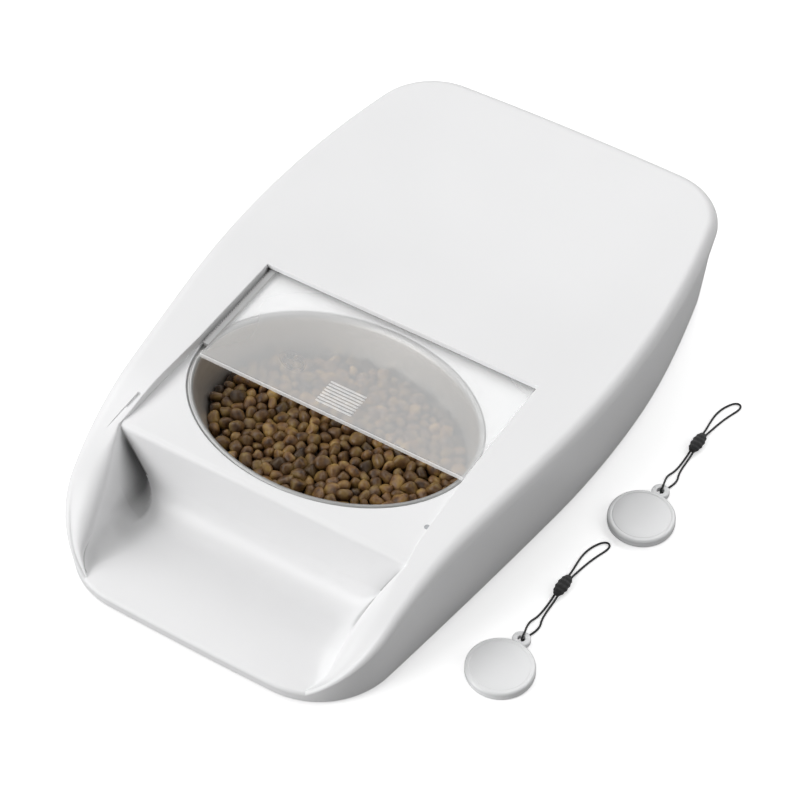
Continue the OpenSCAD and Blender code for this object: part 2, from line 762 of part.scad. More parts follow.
module motor_gearbox() {
  color("silver")
    difference() {
      translate([pinion_pos[0], pinion_pos[1], shelf_z - gearbox[2]])
        block([-gearbox[0] / 2, -gearbox[1] / 2, 0], [gearbox[0] / 2, gearbox[1] / 2, gearbox[2]]);
      rod(pinion_pos, shelf_z - 6.5, shelf_z + 1, pinion_shaft_r + pin_gap);
      for (p = motor_screw_places)
        rod(pinion_pos + p, shelf_z - 4, shelf_z + 1, motor_screw_r);
    }
}

module motor_can() {
  low = shelf_z - gearbox[2] - motor_len;
  color("silver") {
    difference() {
      rod(pinion_pos, low, low + motor_len, gearbox[0] / 2);
      for (side = [-1, 1])
        translate([pinion_pos[0], pinion_pos[1] + side * gearbox[0] * 0.92, low + motor_len / 2])
          cube([gearbox[0] + 2, gearbox[0], motor_len + 2], center = true);
    }
    rod(pinion_pos, low - 1.2, low + e, 2);
  }
}

module motor_screws() {
  color("silver")
    for (p = motor_screw_places) {
      rod(pinion_pos + p, shelf_z - 3.6, shelf_z + shelf_t + e, motor_screw_r);
      rod(pinion_pos + p, shelf_z + shelf_t, shelf_z + shelf_t + 0.6, motor_screw_r * 1.8);
    }
}

module main_board() {
  color("darkgreen")
    difference() {
      block([-board_w / 2, board_y, board_z], [board_w / 2, board_y + board_d, board_z + board_t]);
      for (p = board_holes)
        rod(p, board_z - 1, board_z + board_t + 1, 1.1);
    }
}

module board_parts() {
  z = board_z + board_t;
  color("black") {
    block([-8, board_y + board_d / 2 - 8, z], [8, board_y + board_d / 2 + 8, z + 1.6]);
    block([18, board_y + board_d / 2 - 3, z], [26, board_y + board_d / 2 + 2, z + 1.6]);
    block([-30, board_y + 8, z], [-18, board_y + 14, z + 7]);
    block([16, board_y + board_d - 11, z], [34, board_y + board_d - 5, z + 7]);
  }
  color("silver") {
    for (x = [-34, 32])
      rod([x, board_y + board_d / 2 + 2], z, z + 11, 4);
    block([14, board_y + 14, z], [25, board_y + 18.6, z + 3.5]);
  }
}

module antenna_coil() {
  color("peru")
    translate([0, scoop_y - scoop_len / 2, base_top])
      linear_extrude(1.3)
        difference() {
          rounded(2 * scoop_floor_back - 12, scoop_len - 17.5, 8);
          rounded(2 * scoop_floor_back - 24, scoop_len - 29.5, 4);
        }
}

module rounded(w, d, r) {
  square([w - 2 * r, d], center = true);
  square([w, d - 2 * r], center = true);
  for (x = [-1, 1], y = [-1, 1])
    translate([x * (w / 2 - r), y * (d / 2 - r)])
      circle(r);
}

module status_lens() {
  color("lightgray") {
    rod(lens, led_z + led_board_t + 2, deck_z, lens_r);
    rod(lens, led_z + led_board_t + 2, deck_z - deck_t, lens_r + 1);
  }
}

module led_board() {
  color("darkgreen")
    block([lens[0] - 6, lens[1] - 4, led_z], [lens[0] + 6, lens[1] + 4.5, led_z + led_board_t]);
}

module status_led() {
  color("lightyellow")
    rod(lens, led_z + led_board_t, led_z + led_board_t + 1.7, 1.5);
}

module rear_button(x) {
  translate([x, 0, button_z])
    rotate([-90, 0, 0]) {
      translate([0, 0, button_stem_y])
        cylinder(h = button_face_y - button_stem_y, r = button_r - 1);
      translate([0, 0, flange_y - flange_t])
        cylinder(h = flange_t, r = button_r + 1.6);
      translate([0, 0, flange_y - e])
        cylinder(h = button_face_y - flange_y + e, r = button_r);
    }
}

module pair_button() {
  color("gainsboro")
    rear_button(-button_x);
}

module lid_button() {
  color("gainsboro")
    rear_button(button_x);
}

module button_board() {
  color("darkgreen")
    block([-button_board_w / 2, button_board_y, button_z - board_side / 2],
      [button_board_w / 2, button_board_y + board_t, button_z + board_side / 2]);
}

module button_switches() {
  y = button_board_y + board_t;
  color("black")
    for (x = [-button_x, button_x]) {
      block([x - 3, y, button_z - 3], [x + 3, y + switch_d, button_z + 3]);
      translate([x, y + switch_d - e, button_z])
        rotate([-90, 0, 0])
          cylinder(h = plunger + e, r = 1.75);
    }
}

module battery_cells() {
  color("goldenrod")
    for (row = [0, 1], i = [0, 1]) {
      turn = row == 0 ? 1 : -1;
      shift = turn * (cell_room - plate_t);
      translate([shift + turn * (i - 1) * cell_len, cell_y[row], cell_z])
        rotate([0, turn * 90, 0]) {
          cylinder(h = cell_len - nub_h, r = cell_d / 2);
          cylinder(h = cell_len, r = nub_r);
        }
    }
}

module battery_springs() {
  room = 2 * (cell_room - plate_t);
  rings = spring_turns * 8;
  color("silver")
    for (row = [0, 1]) {
      turn = row == 0 ? 1 : -1;
      translate([turn * (plate_t - box_half), cell_y[row], cell_z])
        rotate([0, turn * 90, 0])
          tube(concat(
            [[spring_r, -0.5, spring_wire / 2]],
            [for (i = [0 : rings]) let (a = 360 * i / 8, r = spring_r - 1.5 * i / rings)
              [r * cos(a), r * sin(a), spring_wire / 2 + (room - spring_wire) * i / rings]]
          ), spring_wire / 2, 6);
    }
}

module battery_plates() {
  color("silver")
    for (row = [0, 1], side = [-1, 1]) {
      x = side * (box_half - plate_t / 2);
      block([x - plate_t / 2, cell_y[row] - 9, cell_z - 9], [x + plate_t / 2, cell_y[row] + 9, cell_z + 9]);
    }
}

module battery_door() {
  x = box_half - 1 - door_gap;
  color("gainsboro")
    difference() {
      union() {
        block([-x, box_y + door_gap, base_z], [x, box_y + box_d - door_gap, base_top]);
        for (b = barrel_x) {
          translate([b, hinge_y, hinge_z])
            rotate([0, 90, 0])
              cylinder(h = barrel_len, r = barrel_r);
          block([b, box_y + box_d - 2, hinge_z - 0.7], [b + barrel_len, hinge_y, hinge_z + 0.7]);
        }
      }
      for (b = barrel_x)
        translate([b - 1, hinge_y, hinge_z])
          rotate([0, 90, 0])
            cylinder(h = barrel_len + 2, r = hinge_pin_r + pin_gap);
      block([-9, box_y + 4, base_z - 1], [9, box_y + 10, base_z + 1.2]);
    }
}

module door_hinge_pin() {
  color("silver")
    for (b = barrel_x)
      translate([b - 4.5, hinge_y, hinge_z])
        rotate([0, 90, 0])
          cylinder(h = barrel_len + 9, r = hinge_pin_r);
}

module limit_switches() {
  color("black")
    for (y = [box_y + limit_front, frame_rear - limit_rear])
      block([frame_out, y, rail_top - limit_high], [frame_out + limit_out, y + limit_len, rail_top]);
}

module rubber_feet() {
  color("darkslategray")
    both_sides(foot_places)
      rod([0, 0], 0, base_z + foot_sink, foot_r);
}

module base_screws() {
  color("silver")
    both_sides(post_places) {
      rod([0, 0], base_z + 0.1, base_z + 0.1 + screw_head_t, screw_head_r);
      rod([0, 0], base_z + screw_head_t, base_top + post_h - 2, screw_r);
    }
}

module frame_screws() {
  color("silver")
    both_sides(tab_places) {
      rod([0, 0], base_top + 1, tab_z + frame_t + e, frame_screw_r - 0.02);
      rod([0, 0], tab_z + frame_t, tab_z + frame_t + 1.4, frame_screw_r * 2);
    }
}

module tag_half(low, high, lug_low_z, lug_high_z, rim_z) {
  flip = rim_z > low ? 1 : -1;
  difference() {
    union() {
      rotate_extrude()
        polygon(flip > 0
          ? [[0, low], [tag_d / 2, low], [tag_d / 2, high - tag_bevel], [tag_d / 2 - tag_bevel, high], [0, high]]
          : [[0, low], [tag_d / 2 - tag_bevel, low], [tag_d / 2, low + tag_bevel], [tag_d / 2, high], [0, high]]);
      translate([0, 0, lug_low_z])
        linear_extrude(lug_high_z - lug_low_z)
          difference() {
            translate([0, lug_y])
              circle(lug_r);
            circle(tag_d / 2 - 2);
          }
    }
    rod([0, lug_y], low - 1, high + 1, lug_hole_r);
    rod([0, 0], flip > 0 ? low - 1 : low + tag_wall, flip > 0 ? high - tag_wall : high + 1, coil_out + 0.2);
  }
}

module at_tag(i) {
  translate([tag_places[i][0], tag_places[i][1], 0])
    children();
}

module tag_front(i) {
  color("gainsboro")
    at_tag(i)
      tag_half(tag_mid, tag_t, tag_mid, lug_high, tag_t);
}

module tag_back(i) {
  color("lightgray")
    at_tag(i)
      tag_half(0, tag_mid, lug_low, tag_mid, 0);
}

module tag_coil(i) {
  color("peru")
    at_tag(i)
      translate([0, 0, tag_wall])
        linear_extrude(tag_t - 2 * tag_wall - 0.4)
          difference() {
            circle(coil_out);
            circle(coil_in);
          }
}

module tag_chip(i) {
  color("black")
    at_tag(i)
      block([-chip_w / 2, -chip_w / 2, tag_wall], [chip_w / 2, chip_w / 2, tag_wall + 1.2]);
}

module tag_cord(i) {
  color("black")
    at_tag(i)
      tube(tag_route, cord_d / 2, 8);
}

module tag_knot(i) {
  color("black")
    at_tag(i)
      intersection() {
        translate([0, knot_y, knot_size[2] - 0.1])
          scale(knot_size)
            sphere(1, $fn = 24);
        block([-10, knot_y - 10, 0], [10, knot_y + 10, 10]);
      }
}

top_housing();
base_plate();
inner_frame();
bowl();
kibble();
lid_panel();
lid_rack();
drive_gear();
gear_pin();
motor_pinion();
motor_gearbox();
motor_can();
motor_screws();
main_board();
board_parts();
antenna_coil();
status_lens();
led_board();
status_led();
pair_button();
lid_button();
button_board();
button_switches();
battery_cells();
battery_springs();
battery_plates();
battery_door();
door_hinge_pin();
limit_switches();
rubber_feet();
base_screws();
frame_screws();
tag_front(0);  // tag_1_front
tag_back(0);  // tag_1_back
tag_coil(0);  // tag_1_coil
tag_chip(0);  // tag_1_chip
tag_cord(0);  // tag_1_cord
tag_knot(0);  // tag_1_knot
tag_front(1);  // tag_2_front
tag_back(1);  // tag_2_back
tag_coil(1);  // tag_2_coil
tag_chip(1);  // tag_2_chip
tag_cord(1);  // tag_2_cord
tag_knot(1);  // tag_2_knot
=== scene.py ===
"""Microchip pet feeder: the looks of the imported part. Plain numbers are millimetres."""

import json
import math

import bmesh
import bpy
import numpy as np
from mathutils import Matrix, Vector
from mathutils.bvhtree import BVHTree
from mathutils.geometry import delaunay_2d_cdt


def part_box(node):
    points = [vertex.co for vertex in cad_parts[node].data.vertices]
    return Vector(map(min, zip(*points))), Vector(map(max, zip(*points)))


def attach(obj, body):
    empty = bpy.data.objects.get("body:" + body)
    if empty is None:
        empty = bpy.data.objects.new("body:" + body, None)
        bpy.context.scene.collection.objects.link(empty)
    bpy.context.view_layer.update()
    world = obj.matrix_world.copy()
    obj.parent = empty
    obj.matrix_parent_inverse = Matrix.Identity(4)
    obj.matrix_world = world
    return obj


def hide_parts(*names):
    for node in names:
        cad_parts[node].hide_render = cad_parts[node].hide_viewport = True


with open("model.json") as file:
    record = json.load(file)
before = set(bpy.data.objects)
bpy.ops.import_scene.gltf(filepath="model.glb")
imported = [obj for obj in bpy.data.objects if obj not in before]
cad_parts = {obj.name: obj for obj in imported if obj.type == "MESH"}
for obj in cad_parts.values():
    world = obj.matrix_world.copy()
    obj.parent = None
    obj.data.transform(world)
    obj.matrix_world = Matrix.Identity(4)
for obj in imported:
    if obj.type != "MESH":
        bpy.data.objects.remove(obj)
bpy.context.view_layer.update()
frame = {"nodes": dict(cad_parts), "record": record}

MM = 0.001
scene = bpy.context.scene
nodes = frame["nodes"]

# View
VIEW_TURN = math.radians(32.2)
VIEW_RISE = math.radians(47.67)
VIEW_LENS, VIEW_SENSOR = 123.18, 36
VIEW_FROM = (460.4, -723.1, 951.0)

# Housing, the same named sizes as the source has
BODY_LEN, BODY_W, BODY_H = 335, 208, 54
SIDE_DRAFT, REAR_TUCK, EDGE_R, GROUND = 4, 1.5, 6, 1.6
FRONT_CORNER_R, REAR_CORNER_R = 43, 34
SIDE_R, FLANK_R, FLANK_ANGLE = 460, 3700, 6.9
FRONT_R, REAR_R, WIDEST_Y = 3000, 1830, 39
LIP_H, SLOPE_LEN, LIP_BACK, SCOOP_LEN = 8, 93.5, 4, 61.5
SCOOP_BACK, SCOOP_FRONT, SCOOP_LEAN = 56, 64, 0.47
DECK_DROP, SLOT_FROM_FRONT = 5, 175.5
HALF_L, HALF_W = BODY_LEN / 2, BODY_W / 2
WIDE_Z = BODY_H - EDGE_R
SLOPE_Y = SLOPE_LEN - HALF_L
SLOPE_RUN = SLOPE_LEN - LIP_BACK
SLOPE_FALL = BODY_H - LIP_H
SLOPE_R = (SLOPE_RUN ** 2 + SLOPE_FALL ** 2) / (2 * SLOPE_FALL)
SCOOP_Y = SCOOP_LEN - HALF_L
SCOOP_Z = LIP_H + 0.2
SCOOP_WIDE_Y = SCOOP_Y - 44
DECK_Z = BODY_H - DECK_DROP
SLOT_Y = SLOT_FROM_FRONT - HALF_L
BOWL_Y = SLOT_Y - 54.4

# Bowl and lens
BOWL_HALF, BOWL_DEPTH, BOWL_T, RIM_W = (71.3, 53.2), 38, 0.8, 1.4
BOWL_PROFILE = [(0, 26), (0.02, 19), (0.07, 14), (0.16, 10.5), (0.3, 8), (0.5, 5.5), (0.75, 2.8), (1, 0.1)]
RIM_TOP = DECK_Z - 0.2
BOWL_FLOOR = RIM_TOP - BOWL_DEPTH
LENS, LENS_HOLE = (71.6, -83.8), 1.4

# Collar tags, with the way of the cord from the tag's middle
TAGS = {"tag_1": (130.5, 5), "tag_2": (119.7, -101.2)}
TAG_R, TAG_SEAM, LUG_Y = 15.5, 2.3, 18
CORD_D = 1.0
KNOT_AT, KNOT_HALF, KNOT_TURNS = (0, 54, 2.2), (3.0, 6.4, 2.3), 7
TAG_ROUTE = [
    (-0.75, 56.5, 2.0), (-0.75, 60.0, 1.5), (-1.0, 64.0, 0.7), (-1.4, 68.0, 0.5),
    (-1.7, 72.5, 0.5), (-1.5, 76.5, 0.5), (-0.6, 80.5, 0.5), (1.0, 84.0, 0.5),
    (2.8, 86.5, 0.5), (4.9, 87.1, 0.5), (6.3, 85.6, 0.5), (6.0, 82.8, 0.5),
    (4.6, 79.0, 0.5), (3.3, 75.0, 0.5), (2.2, 70.5, 0.5), (1.3, 65.5, 0.6),
    (0.8, 60.5, 1.5), (0.75, 55.0, 2.0), (0.75, 49.5, 1.6), (0.75, 44.5, 0.6),
    (0.75, 38.5, 0.5), (1.2, 33.5, 0.5), (2.4, 30.3, 0.5), (2.2, 27.0, 0.5),
    (1.1, 23.8, 0.5), (0.2, 20.9, 0.5), (0.0, 18.9, 0.9), (0.0, 18.0, 2.5),
    (0.0, 18.9, 4.1), (-0.2, 20.9, 4.5), (-1.0, 23.6, 3.9), (-2.0, 27.0, 2.0),
    (-2.5, 30.4, 0.7), (-1.3, 33.6, 0.5), (-0.75, 38.5, 0.5), (-0.75, 44.5, 0.6),
    (-0.75, 49.0, 1.5), (-0.75, 52.0, 1.9),
]


# Camera
def make_camera():
    turn, rise = VIEW_TURN, VIEW_RISE
    right = Vector((math.cos(turn), math.sin(turn), 0))
    forward = Vector((-math.sin(turn) * math.cos(rise), math.cos(turn) * math.cos(rise), -math.sin(rise)))
    up = right.cross(forward)
    data = bpy.data.cameras.new("view")
    data.lens = VIEW_LENS
    data.sensor_width = VIEW_SENSOR
    data.sensor_fit = "HORIZONTAL"
    data.clip_end = 20
    camera = bpy.data.objects.new("view", data)
    axes = Matrix((right, up, -forward)).transposed().to_4x4()
    camera.matrix_world = Matrix.Translation(Vector(VIEW_FROM) * MM) @ axes
    scene.collection.objects.link(camera)
    scene.camera = camera


make_camera()


# Materials
DRIFT_SCALE, GLOSS_SCALE, GRAIN_SCALE, DRAWN_SCALE = 9, 40, 2600, 160
# Painted shade: the housing's colour darkens where a point sees little of the sky
SKY_SHUT, SKY_OPEN, CORNER_PAINTED_SHADE = 0.53, 0.74, 0.10


class Shader:
    """A Principled material whose colour and bump come from procedural nodes."""

    def __init__(self, name, color, rough=0.5, **inputs):
        self.mat = bpy.data.materials.new(name)
        self.mat.use_nodes = True
        self.tree = self.mat.node_tree
        self.main = self.tree.nodes["Principled BSDF"]
        self.main.inputs["Base Color"].default_value = (*color, 1)
        self.main.inputs["Roughness"].default_value = rough
        for key, value in inputs.items():
            self.main.inputs[key.replace("_", " ")].default_value = value
        self.place = self.tree.nodes.new("ShaderNodeTexCoord")

    def link(self, a, b):
        self.tree.links.new(a, b)

    def noise(self, scale, detail=3.0, stretch=(1, 1, 1)):
        node = self.tree.nodes.new("ShaderNodeTexNoise")
        node.inputs["Scale"].default_value = scale
        node.inputs["Detail"].default_value = detail
        mapping = self.tree.nodes.new("ShaderNodeMapping")
        mapping.inputs["Scale"].default_value = stretch
        self.link(self.place.outputs["Object"], mapping.inputs["Vector"])
        self.link(mapping.outputs["Vector"], node.inputs["Vector"])
        return node.outputs["Fac"]

    def color(self, value, stops):
        node = self.tree.nodes.new("ShaderNodeValToRGB")
        while len(node.color_ramp.elements) < len(stops):
            node.color_ramp.elements.new(0.5)
        for element, (at, color) in zip(node.color_ramp.elements, stops):
            element.position = at
            element.color = (*color, 1)
        self.link(value, node.inputs["Fac"])
        self.link(node.outputs["Color"], self.main.inputs["Base Color"])

    def rough(self, value, low, high):
        node = self.tree.nodes.new("ShaderNodeMapRange")
        node.inputs["To Min"].default_value = low
        node.inputs["To Max"].default_value = high
        self.link(value, node.inputs["Value"])
        self.link(node.outputs["Result"], self.main.inputs["Roughness"])

    def bump(self, value, strength, distance):
        node = self.tree.nodes.new("ShaderNodeBump")
        node.inputs["Strength"].default_value = strength
        node.inputs["Distance"].default_value = distance * MM
        self.link(value, node.inputs["Height"])
        self.link(node.outputs["Normal"], self.main.inputs["Normal"])


def plastic(name, color, rough=0.4, grain=1.0, shift=0.02, **inputs):
    """Moulded plastic: very slight colour drift, fine spark grain, uneven gloss."""
    s = Shader(name, color, rough, **inputs)
    low = tuple(max(0, c * (1 - shift)) for c in color)
    high = tuple(min(1, c * (1 + shift)) for c in color)
    drift = s.noise(DRIFT_SCALE, 2)
    fine = s.noise(GRAIN_SCALE, 2)
    s.color(drift, [(0.3, low), (0.7, high)])
    s.rough(s.noise(GLOSS_SCALE, 3), rough - 0.05, rough + 0.05)
    s.bump(fine, 0.15 * grain, 0.02)
    return s.mat


def housing_plastic_painted_shade(name, color, rough):
    """The housing's plastic, with painted shade: its colour is darker in a narrow corner that sees little of
    the sky.
    """
    mat = plastic(name, color, rough)
    tree = mat.node_tree
    main = tree.nodes["Principled BSDF"]
    base = main.inputs["Base Color"].links[0].from_socket
    sky = tree.nodes.new("ShaderNodeAttribute")
    sky.attribute_name = "open_sky"
    span = tree.nodes.new("ShaderNodeMapRange")
    span.interpolation_type = "SMOOTHSTEP"
    span.inputs["From Min"].default_value = SKY_SHUT
    span.inputs["From Max"].default_value = SKY_OPEN
    span.inputs["To Min"].default_value = CORNER_PAINTED_SHADE
    tree.links.new(sky.outputs["Fac"], span.inputs["Value"])
    # Scaling the base colour down where the sky is shut is the painted shade
    scale = tree.nodes.new("ShaderNodeVectorMath")
    scale.operation = "SCALE"
    tree.links.new(base, scale.inputs[0])
    tree.links.new(span.outputs["Result"], scale.inputs["Scale"])
    tree.links.new(scale.outputs["Vector"], main.inputs["Base Color"])
    return mat


def metal(name, color, rough=0.3):
    """Drawn or rolled metal with fine level lines."""
    s = Shader(name, color, rough, Metallic=1.0)
    lines = s.noise(DRAWN_SCALE, 4, (1, 1, 40))
    s.color(lines, [(0.3, tuple(c * 0.85 for c in color)), (0.7, color)])
    s.rough(lines, rough - 0.08, rough + 0.1)
    s.bump(lines, 0.1, 0.02)
    return s.mat


def frosted(name, color, rough, cover, shade):
    """Frosted clear plastic: it covers what lies under it, but throws only a thin shadow."""
    mat = plastic(name, color, rough, grain=0.2)
    tree = mat.node_tree
    path = tree.nodes.new("ShaderNodeLightPath")
    mix = tree.nodes.new("ShaderNodeMix")
    mix.inputs["A"].default_value = cover
    mix.inputs["B"].default_value = shade
    tree.links.new(path.outputs["Is Shadow Ray"], mix.inputs["Factor"])
    tree.links.new(mix.outputs["Result"], tree.nodes["Principled BSDF"].inputs["Alpha"])
    return mat


def kibble_material(name, tone):
    """Baked crust: browns with olive and gold patches, slightly oily."""
    s = Shader(name, (0.13, 0.07, 0.03), 0.6)
    stops = [(0.30, (0.045, 0.021, 0.008)), (0.45, (0.120, 0.060, 0.021)),
             (0.58, (0.180, 0.104, 0.031)), (0.72, (0.255, 0.165, 0.050))]
    s.color(s.noise(210, 2.5), [(at, tuple(c * tone for c in color)) for at, color in stops])
    s.rough(s.noise(300, 3), 0.28, 0.62)
    s.bump(s.noise(620, 5), 0.6, 0.3)
    return s.mat


def cord_material():
    """Braided cord with a fine wave along it."""
    s = Shader("cord_braid", (0.012, 0.012, 0.013), 0.6, Sheen_Weight=0.3)
    wave = s.tree.nodes.new("ShaderNodeTexWave")
    wave.inputs["Scale"].default_value = 900
    wave.inputs["Distortion"].default_value = 1.5
    s.link(s.place.outputs["Object"], wave.inputs["Vector"])
    s.color(wave.outputs["Fac"], [(0.2, (0.006, 0.006, 0.006)), (0.8, (0.028, 0.028, 0.030))])
    s.bump(wave.outputs["Fac"], 0.6, 0.12)
    return s.mat


MATS = {
    "housing_white": housing_plastic_painted_shade("housing_white", (0.86, 0.86, 0.865), 0.42),
    "base_white": plastic("base_white", (0.80, 0.80, 0.80), 0.55, 2.0),
    "frame_white": plastic("frame_white", (0.78, 0.78, 0.76), 0.5),
    "bowl_steel": metal("bowl_steel", (0.80, 0.79, 0.76), 0.46),
    "bowl_rim": plastic("bowl_rim", (0.44, 0.44, 0.435), 0.4, 0.5, Metallic=0.5),
    "kibble_brown": kibble_material("kibble_brown", 1.0),
    # The dark kibble is a random dark tone on some top pellets and painted shade on the deep pellets and the
    # mound
    "kibble_dark_and_painted_shade": kibble_material("kibble_dark_and_painted_shade", 0.5),
    "kibble_gold": kibble_material("kibble_gold", 1.5),
    "lid_frosted": frosted("lid_frosted", (0.90, 0.905, 0.905), 0.35, 0.27, 0.08),
    "lid_edge": frosted("lid_edge", (0.95, 0.95, 0.95), 0.25, 0.6, 0.3),
    "rack_grey": plastic("rack_grey", (0.47, 0.47, 0.47), 0.45),
    "gear_white": plastic("gear_white", (0.80, 0.79, 0.74), 0.4),
    "steel": metal("steel", (0.62, 0.62, 0.64)),
    "board_green": plastic("board_green", (0.02, 0.13, 0.06), 0.3, 1, 0.1),
    "part_black": plastic("part_black", (0.02, 0.02, 0.02), 0.45, 1, 0.2),
    "coil_copper": metal("coil_copper", (0.70, 0.33, 0.16), 0.3),
    "lens_clear": plastic("lens_clear", (0.45, 0.46, 0.48), 0.15),
    "led_white": plastic("led_white", (0.85, 0.82, 0.65), 0.2),
    "button_grey": plastic("button_grey", (0.60, 0.60, 0.60), 0.5),
    "cell_wrap": plastic("cell_wrap", (0.60, 0.38, 0.08), 0.3, 1, 0.1),
    "foot_rubber": plastic("foot_rubber", (0.03, 0.03, 0.03), 0.8, 3, 0.2),
    "tag_shell": plastic("tag_shell", (0.89, 0.895, 0.90), 0.22),
    "cord_black": cord_material(),
}


# Mesh helpers
EDGE_ANGLE = 32


def link_mesh(name, mesh, materials):
    for material in materials:
        mesh.materials.append(MATS[material])
    piece = bpy.data.objects.new(name, mesh)
    scene.collection.objects.link(piece)
    return piece


def sharpen(bm, angle):
    """Smooth faces, with a sharp edge where the surface turns more than the angle."""
    limit = math.radians(angle)
    for face in bm.faces:
        face.smooth = True
    for edge in bm.edges:
        edge.smooth = len(edge.link_faces) == 2 and edge.calc_face_angle(0) < limit


def make_piece(name, bm, body, slot, materials=None, angle=EDGE_ANGLE, weighted=True):
    """A piece of the scene in metres that rides a body and takes the material of a slot."""
    sharpen(bm, angle)
    bmesh.ops.scale(bm, vec=(MM, MM, MM), verts=bm.verts)
    mesh = bpy.data.meshes.new(name)
    bm.to_mesh(mesh)
    bm.free()
    piece = link_mesh(name, mesh, materials or [slot])
    if weighted:
        modifier = piece.modifiers.new("weighted", "WEIGHTED_NORMAL")
        modifier.keep_sharp = True
        modifier.weight = 80
    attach(piece, body)
    return piece


def add_grid(bm, rows, closed=False):
    """Quads between rows of points that all have the same length."""
    grid = [[bm.verts.new(p) for p in row] for row in rows]
    count = len(rows[0])
    for a, b in zip(grid, grid[1:]):
        for i in range(count if closed else count - 1):
            j = (i + 1) % count
            bm.faces.new((a[i], a[j], b[j], b[i]))
    return grid


def close_ends(bm, rings):
    bm.faces.new(rings[0])
    bm.faces.new(rings[-1])
    bmesh.ops.recalc_face_normals(bm, faces=bm.faces)


def weld(bm, distance=0.002):
    bmesh.ops.remove_doubles(bm, verts=bm.verts, dist=distance)
    bmesh.ops.dissolve_degenerate(bm, edges=bm.edges, dist=distance / 4)


# Cords and knots
def knot_mesh(centre):
    """A lanyard's knot: an oval of cord wound on the slant, flat where it lies on the floor."""
    bm = bmesh.new()
    rows, count = 60, 40
    grid = []
    for v in (k / rows for k in range(rows + 1)):
        lat = math.pi * (v - 0.5)
        row = []
        for i in range(count):
            a = 2 * math.pi * i / count
            ridge = 0.055 * math.cos(2 * math.pi * KNOT_TURNS * v + 1.2 * math.sin(a)) * math.cos(lat) ** 0.5
            grow = math.cos(lat) ** 0.8 * (0.97 + ridge)
            x = centre[0] + KNOT_HALF[0] * math.cos(a) * grow
            y = centre[1] + KNOT_HALF[1] * math.sin(lat)
            z = centre[2] + KNOT_HALF[2] * math.sin(a) * grow
            row.append((x, y, max(0.02, z)))
        grid.append(row)
    add_grid(bm, grid, closed=True)
    weld(bm, 0.01)
    bmesh.ops.recalc_face_normals(bm, faces=bm.faces)
    return bm


def make_lanyard(tag, tag_x, tag_y):
    """One limp cord, doubled into a loop, with the knot that holds it."""
    curve = bpy.data.curves.new(tag + "_lanyard", "CURVE")
    curve.dimensions = "3D"
    curve.bevel_depth = CORD_D / 2 * MM
    curve.bevel_resolution = 4
    curve.resolution_u = 8
    curve.use_fill_caps = True
    spline = curve.splines.new("NURBS")
    spline.points.add(len(TAG_ROUTE) - 1)
    for point, (x, y, z) in zip(spline.points, TAG_ROUTE):
        point.co = ((tag_x + x) * MM, (tag_y + y) * MM, z * MM, 1)
    spline.order_u = 3
    spline.use_endpoint_u = True
    lanyard = bpy.data.objects.new(tag + "_lanyard", curve)
    curve.materials.append(MATS["cord_black"])
    scene.collection.objects.link(lanyard)
    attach(lanyard, tag)
    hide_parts(tag + "_cord")
    form = knot_mesh((tag_x + KNOT_AT[0], tag_y + KNOT_AT[1], KNOT_AT[2]))
    knot = make_piece(tag + "_wound_knot", form, tag, "cord_black", angle=60)
    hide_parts(tag + "_knot")
    x, y, z = TAG_ROUTE[0]


for tag, (tag_x, tag_y) in TAGS.items():
    make_lanyard(tag, tag_x, tag_y)


# Housing outline
TUCK_FROM, TUCK_RUN, TUCK_DROP, DRAFT_POWER = WIDEST_Y + 21, 80, 15, 1.3
MIN_EDGE, SOLVE_STEPS = 1.5, 44


def polar(centre, r, angle):
    a = math.radians(angle)
    return (centre[0] + r * math.cos(a), centre[1] + r * math.sin(a))


def meet(a, reach_a, b, reach_b):
    """The point at given distances from a and b, on the +X side."""
    v = Vector(b) - Vector(a)
    d = v.length
    along = (reach_a ** 2 - reach_b ** 2 + d ** 2) / (2 * d)
    side = Vector((-v[1], v[0])) / d
    return tuple(Vector(a) + v / d * along + math.sqrt(reach_a ** 2 - along ** 2) * side)


def bearing(a, b):
    """The angle at which a is seen from b."""
    return math.degrees(math.atan2(a[1] - b[1], a[0] - b[0]))


def outline_arcs():
    """The six arcs of the right half, from the front to the rear: centre, radius and both angles."""
    front = (0, FRONT_R - HALF_L)
    side = (HALF_W - SIDE_R, WIDEST_Y)
    rear = (0, HALF_L - REAR_R)
    flank = polar(side, SIDE_R - FLANK_R, -FLANK_ANGLE)
    front_corner = meet(front, FRONT_R - FRONT_CORNER_R, flank, FLANK_R - FRONT_CORNER_R)
    rear_corner = meet(side, SIDE_R - REAR_CORNER_R, rear, REAR_R - REAR_CORNER_R)
    turns = [-90, bearing(front_corner, front), bearing(front_corner, flank), -FLANK_ANGLE,
             bearing(rear_corner, side), bearing(rear_corner, rear), 90]
    centres = [(front, FRONT_R), (front_corner, FRONT_CORNER_R), (flank, FLANK_R),
               (side, SIDE_R), (rear_corner, REAR_CORNER_R), (rear, REAR_R)]
    return [(c, r, turns[i], turns[i + 1]) for i, (c, r) in enumerate(centres)]


ARCS = outline_arcs()


def station(t):
    """Centre, radius and angle of the outline at t, from 0 at the front to 6 at the rear."""
    i = min(5, max(0, int(t)))
    centre, r, low, high = ARCS[i]
    return centre, r, low + (high - low) * (t - i)


def outline(t, inset=0.0):
    centre, r, angle = station(t)
    return polar(centre, r - inset, angle)


def ease(t):
    u = min(1, max(0, t))
    return u * u * (3 - 2 * u)


def draw_in(z, y):
    """How far the side stands inside the outline at a height."""
    down = max(0, WIDE_Z - z)
    tuck = REAR_TUCK * ease((y - TUCK_FROM) / TUCK_RUN) * min(1, down / TUCK_DROP)
    return SIDE_DRAFT * (down / WIDE_Z) ** DRAFT_POWER + tuck


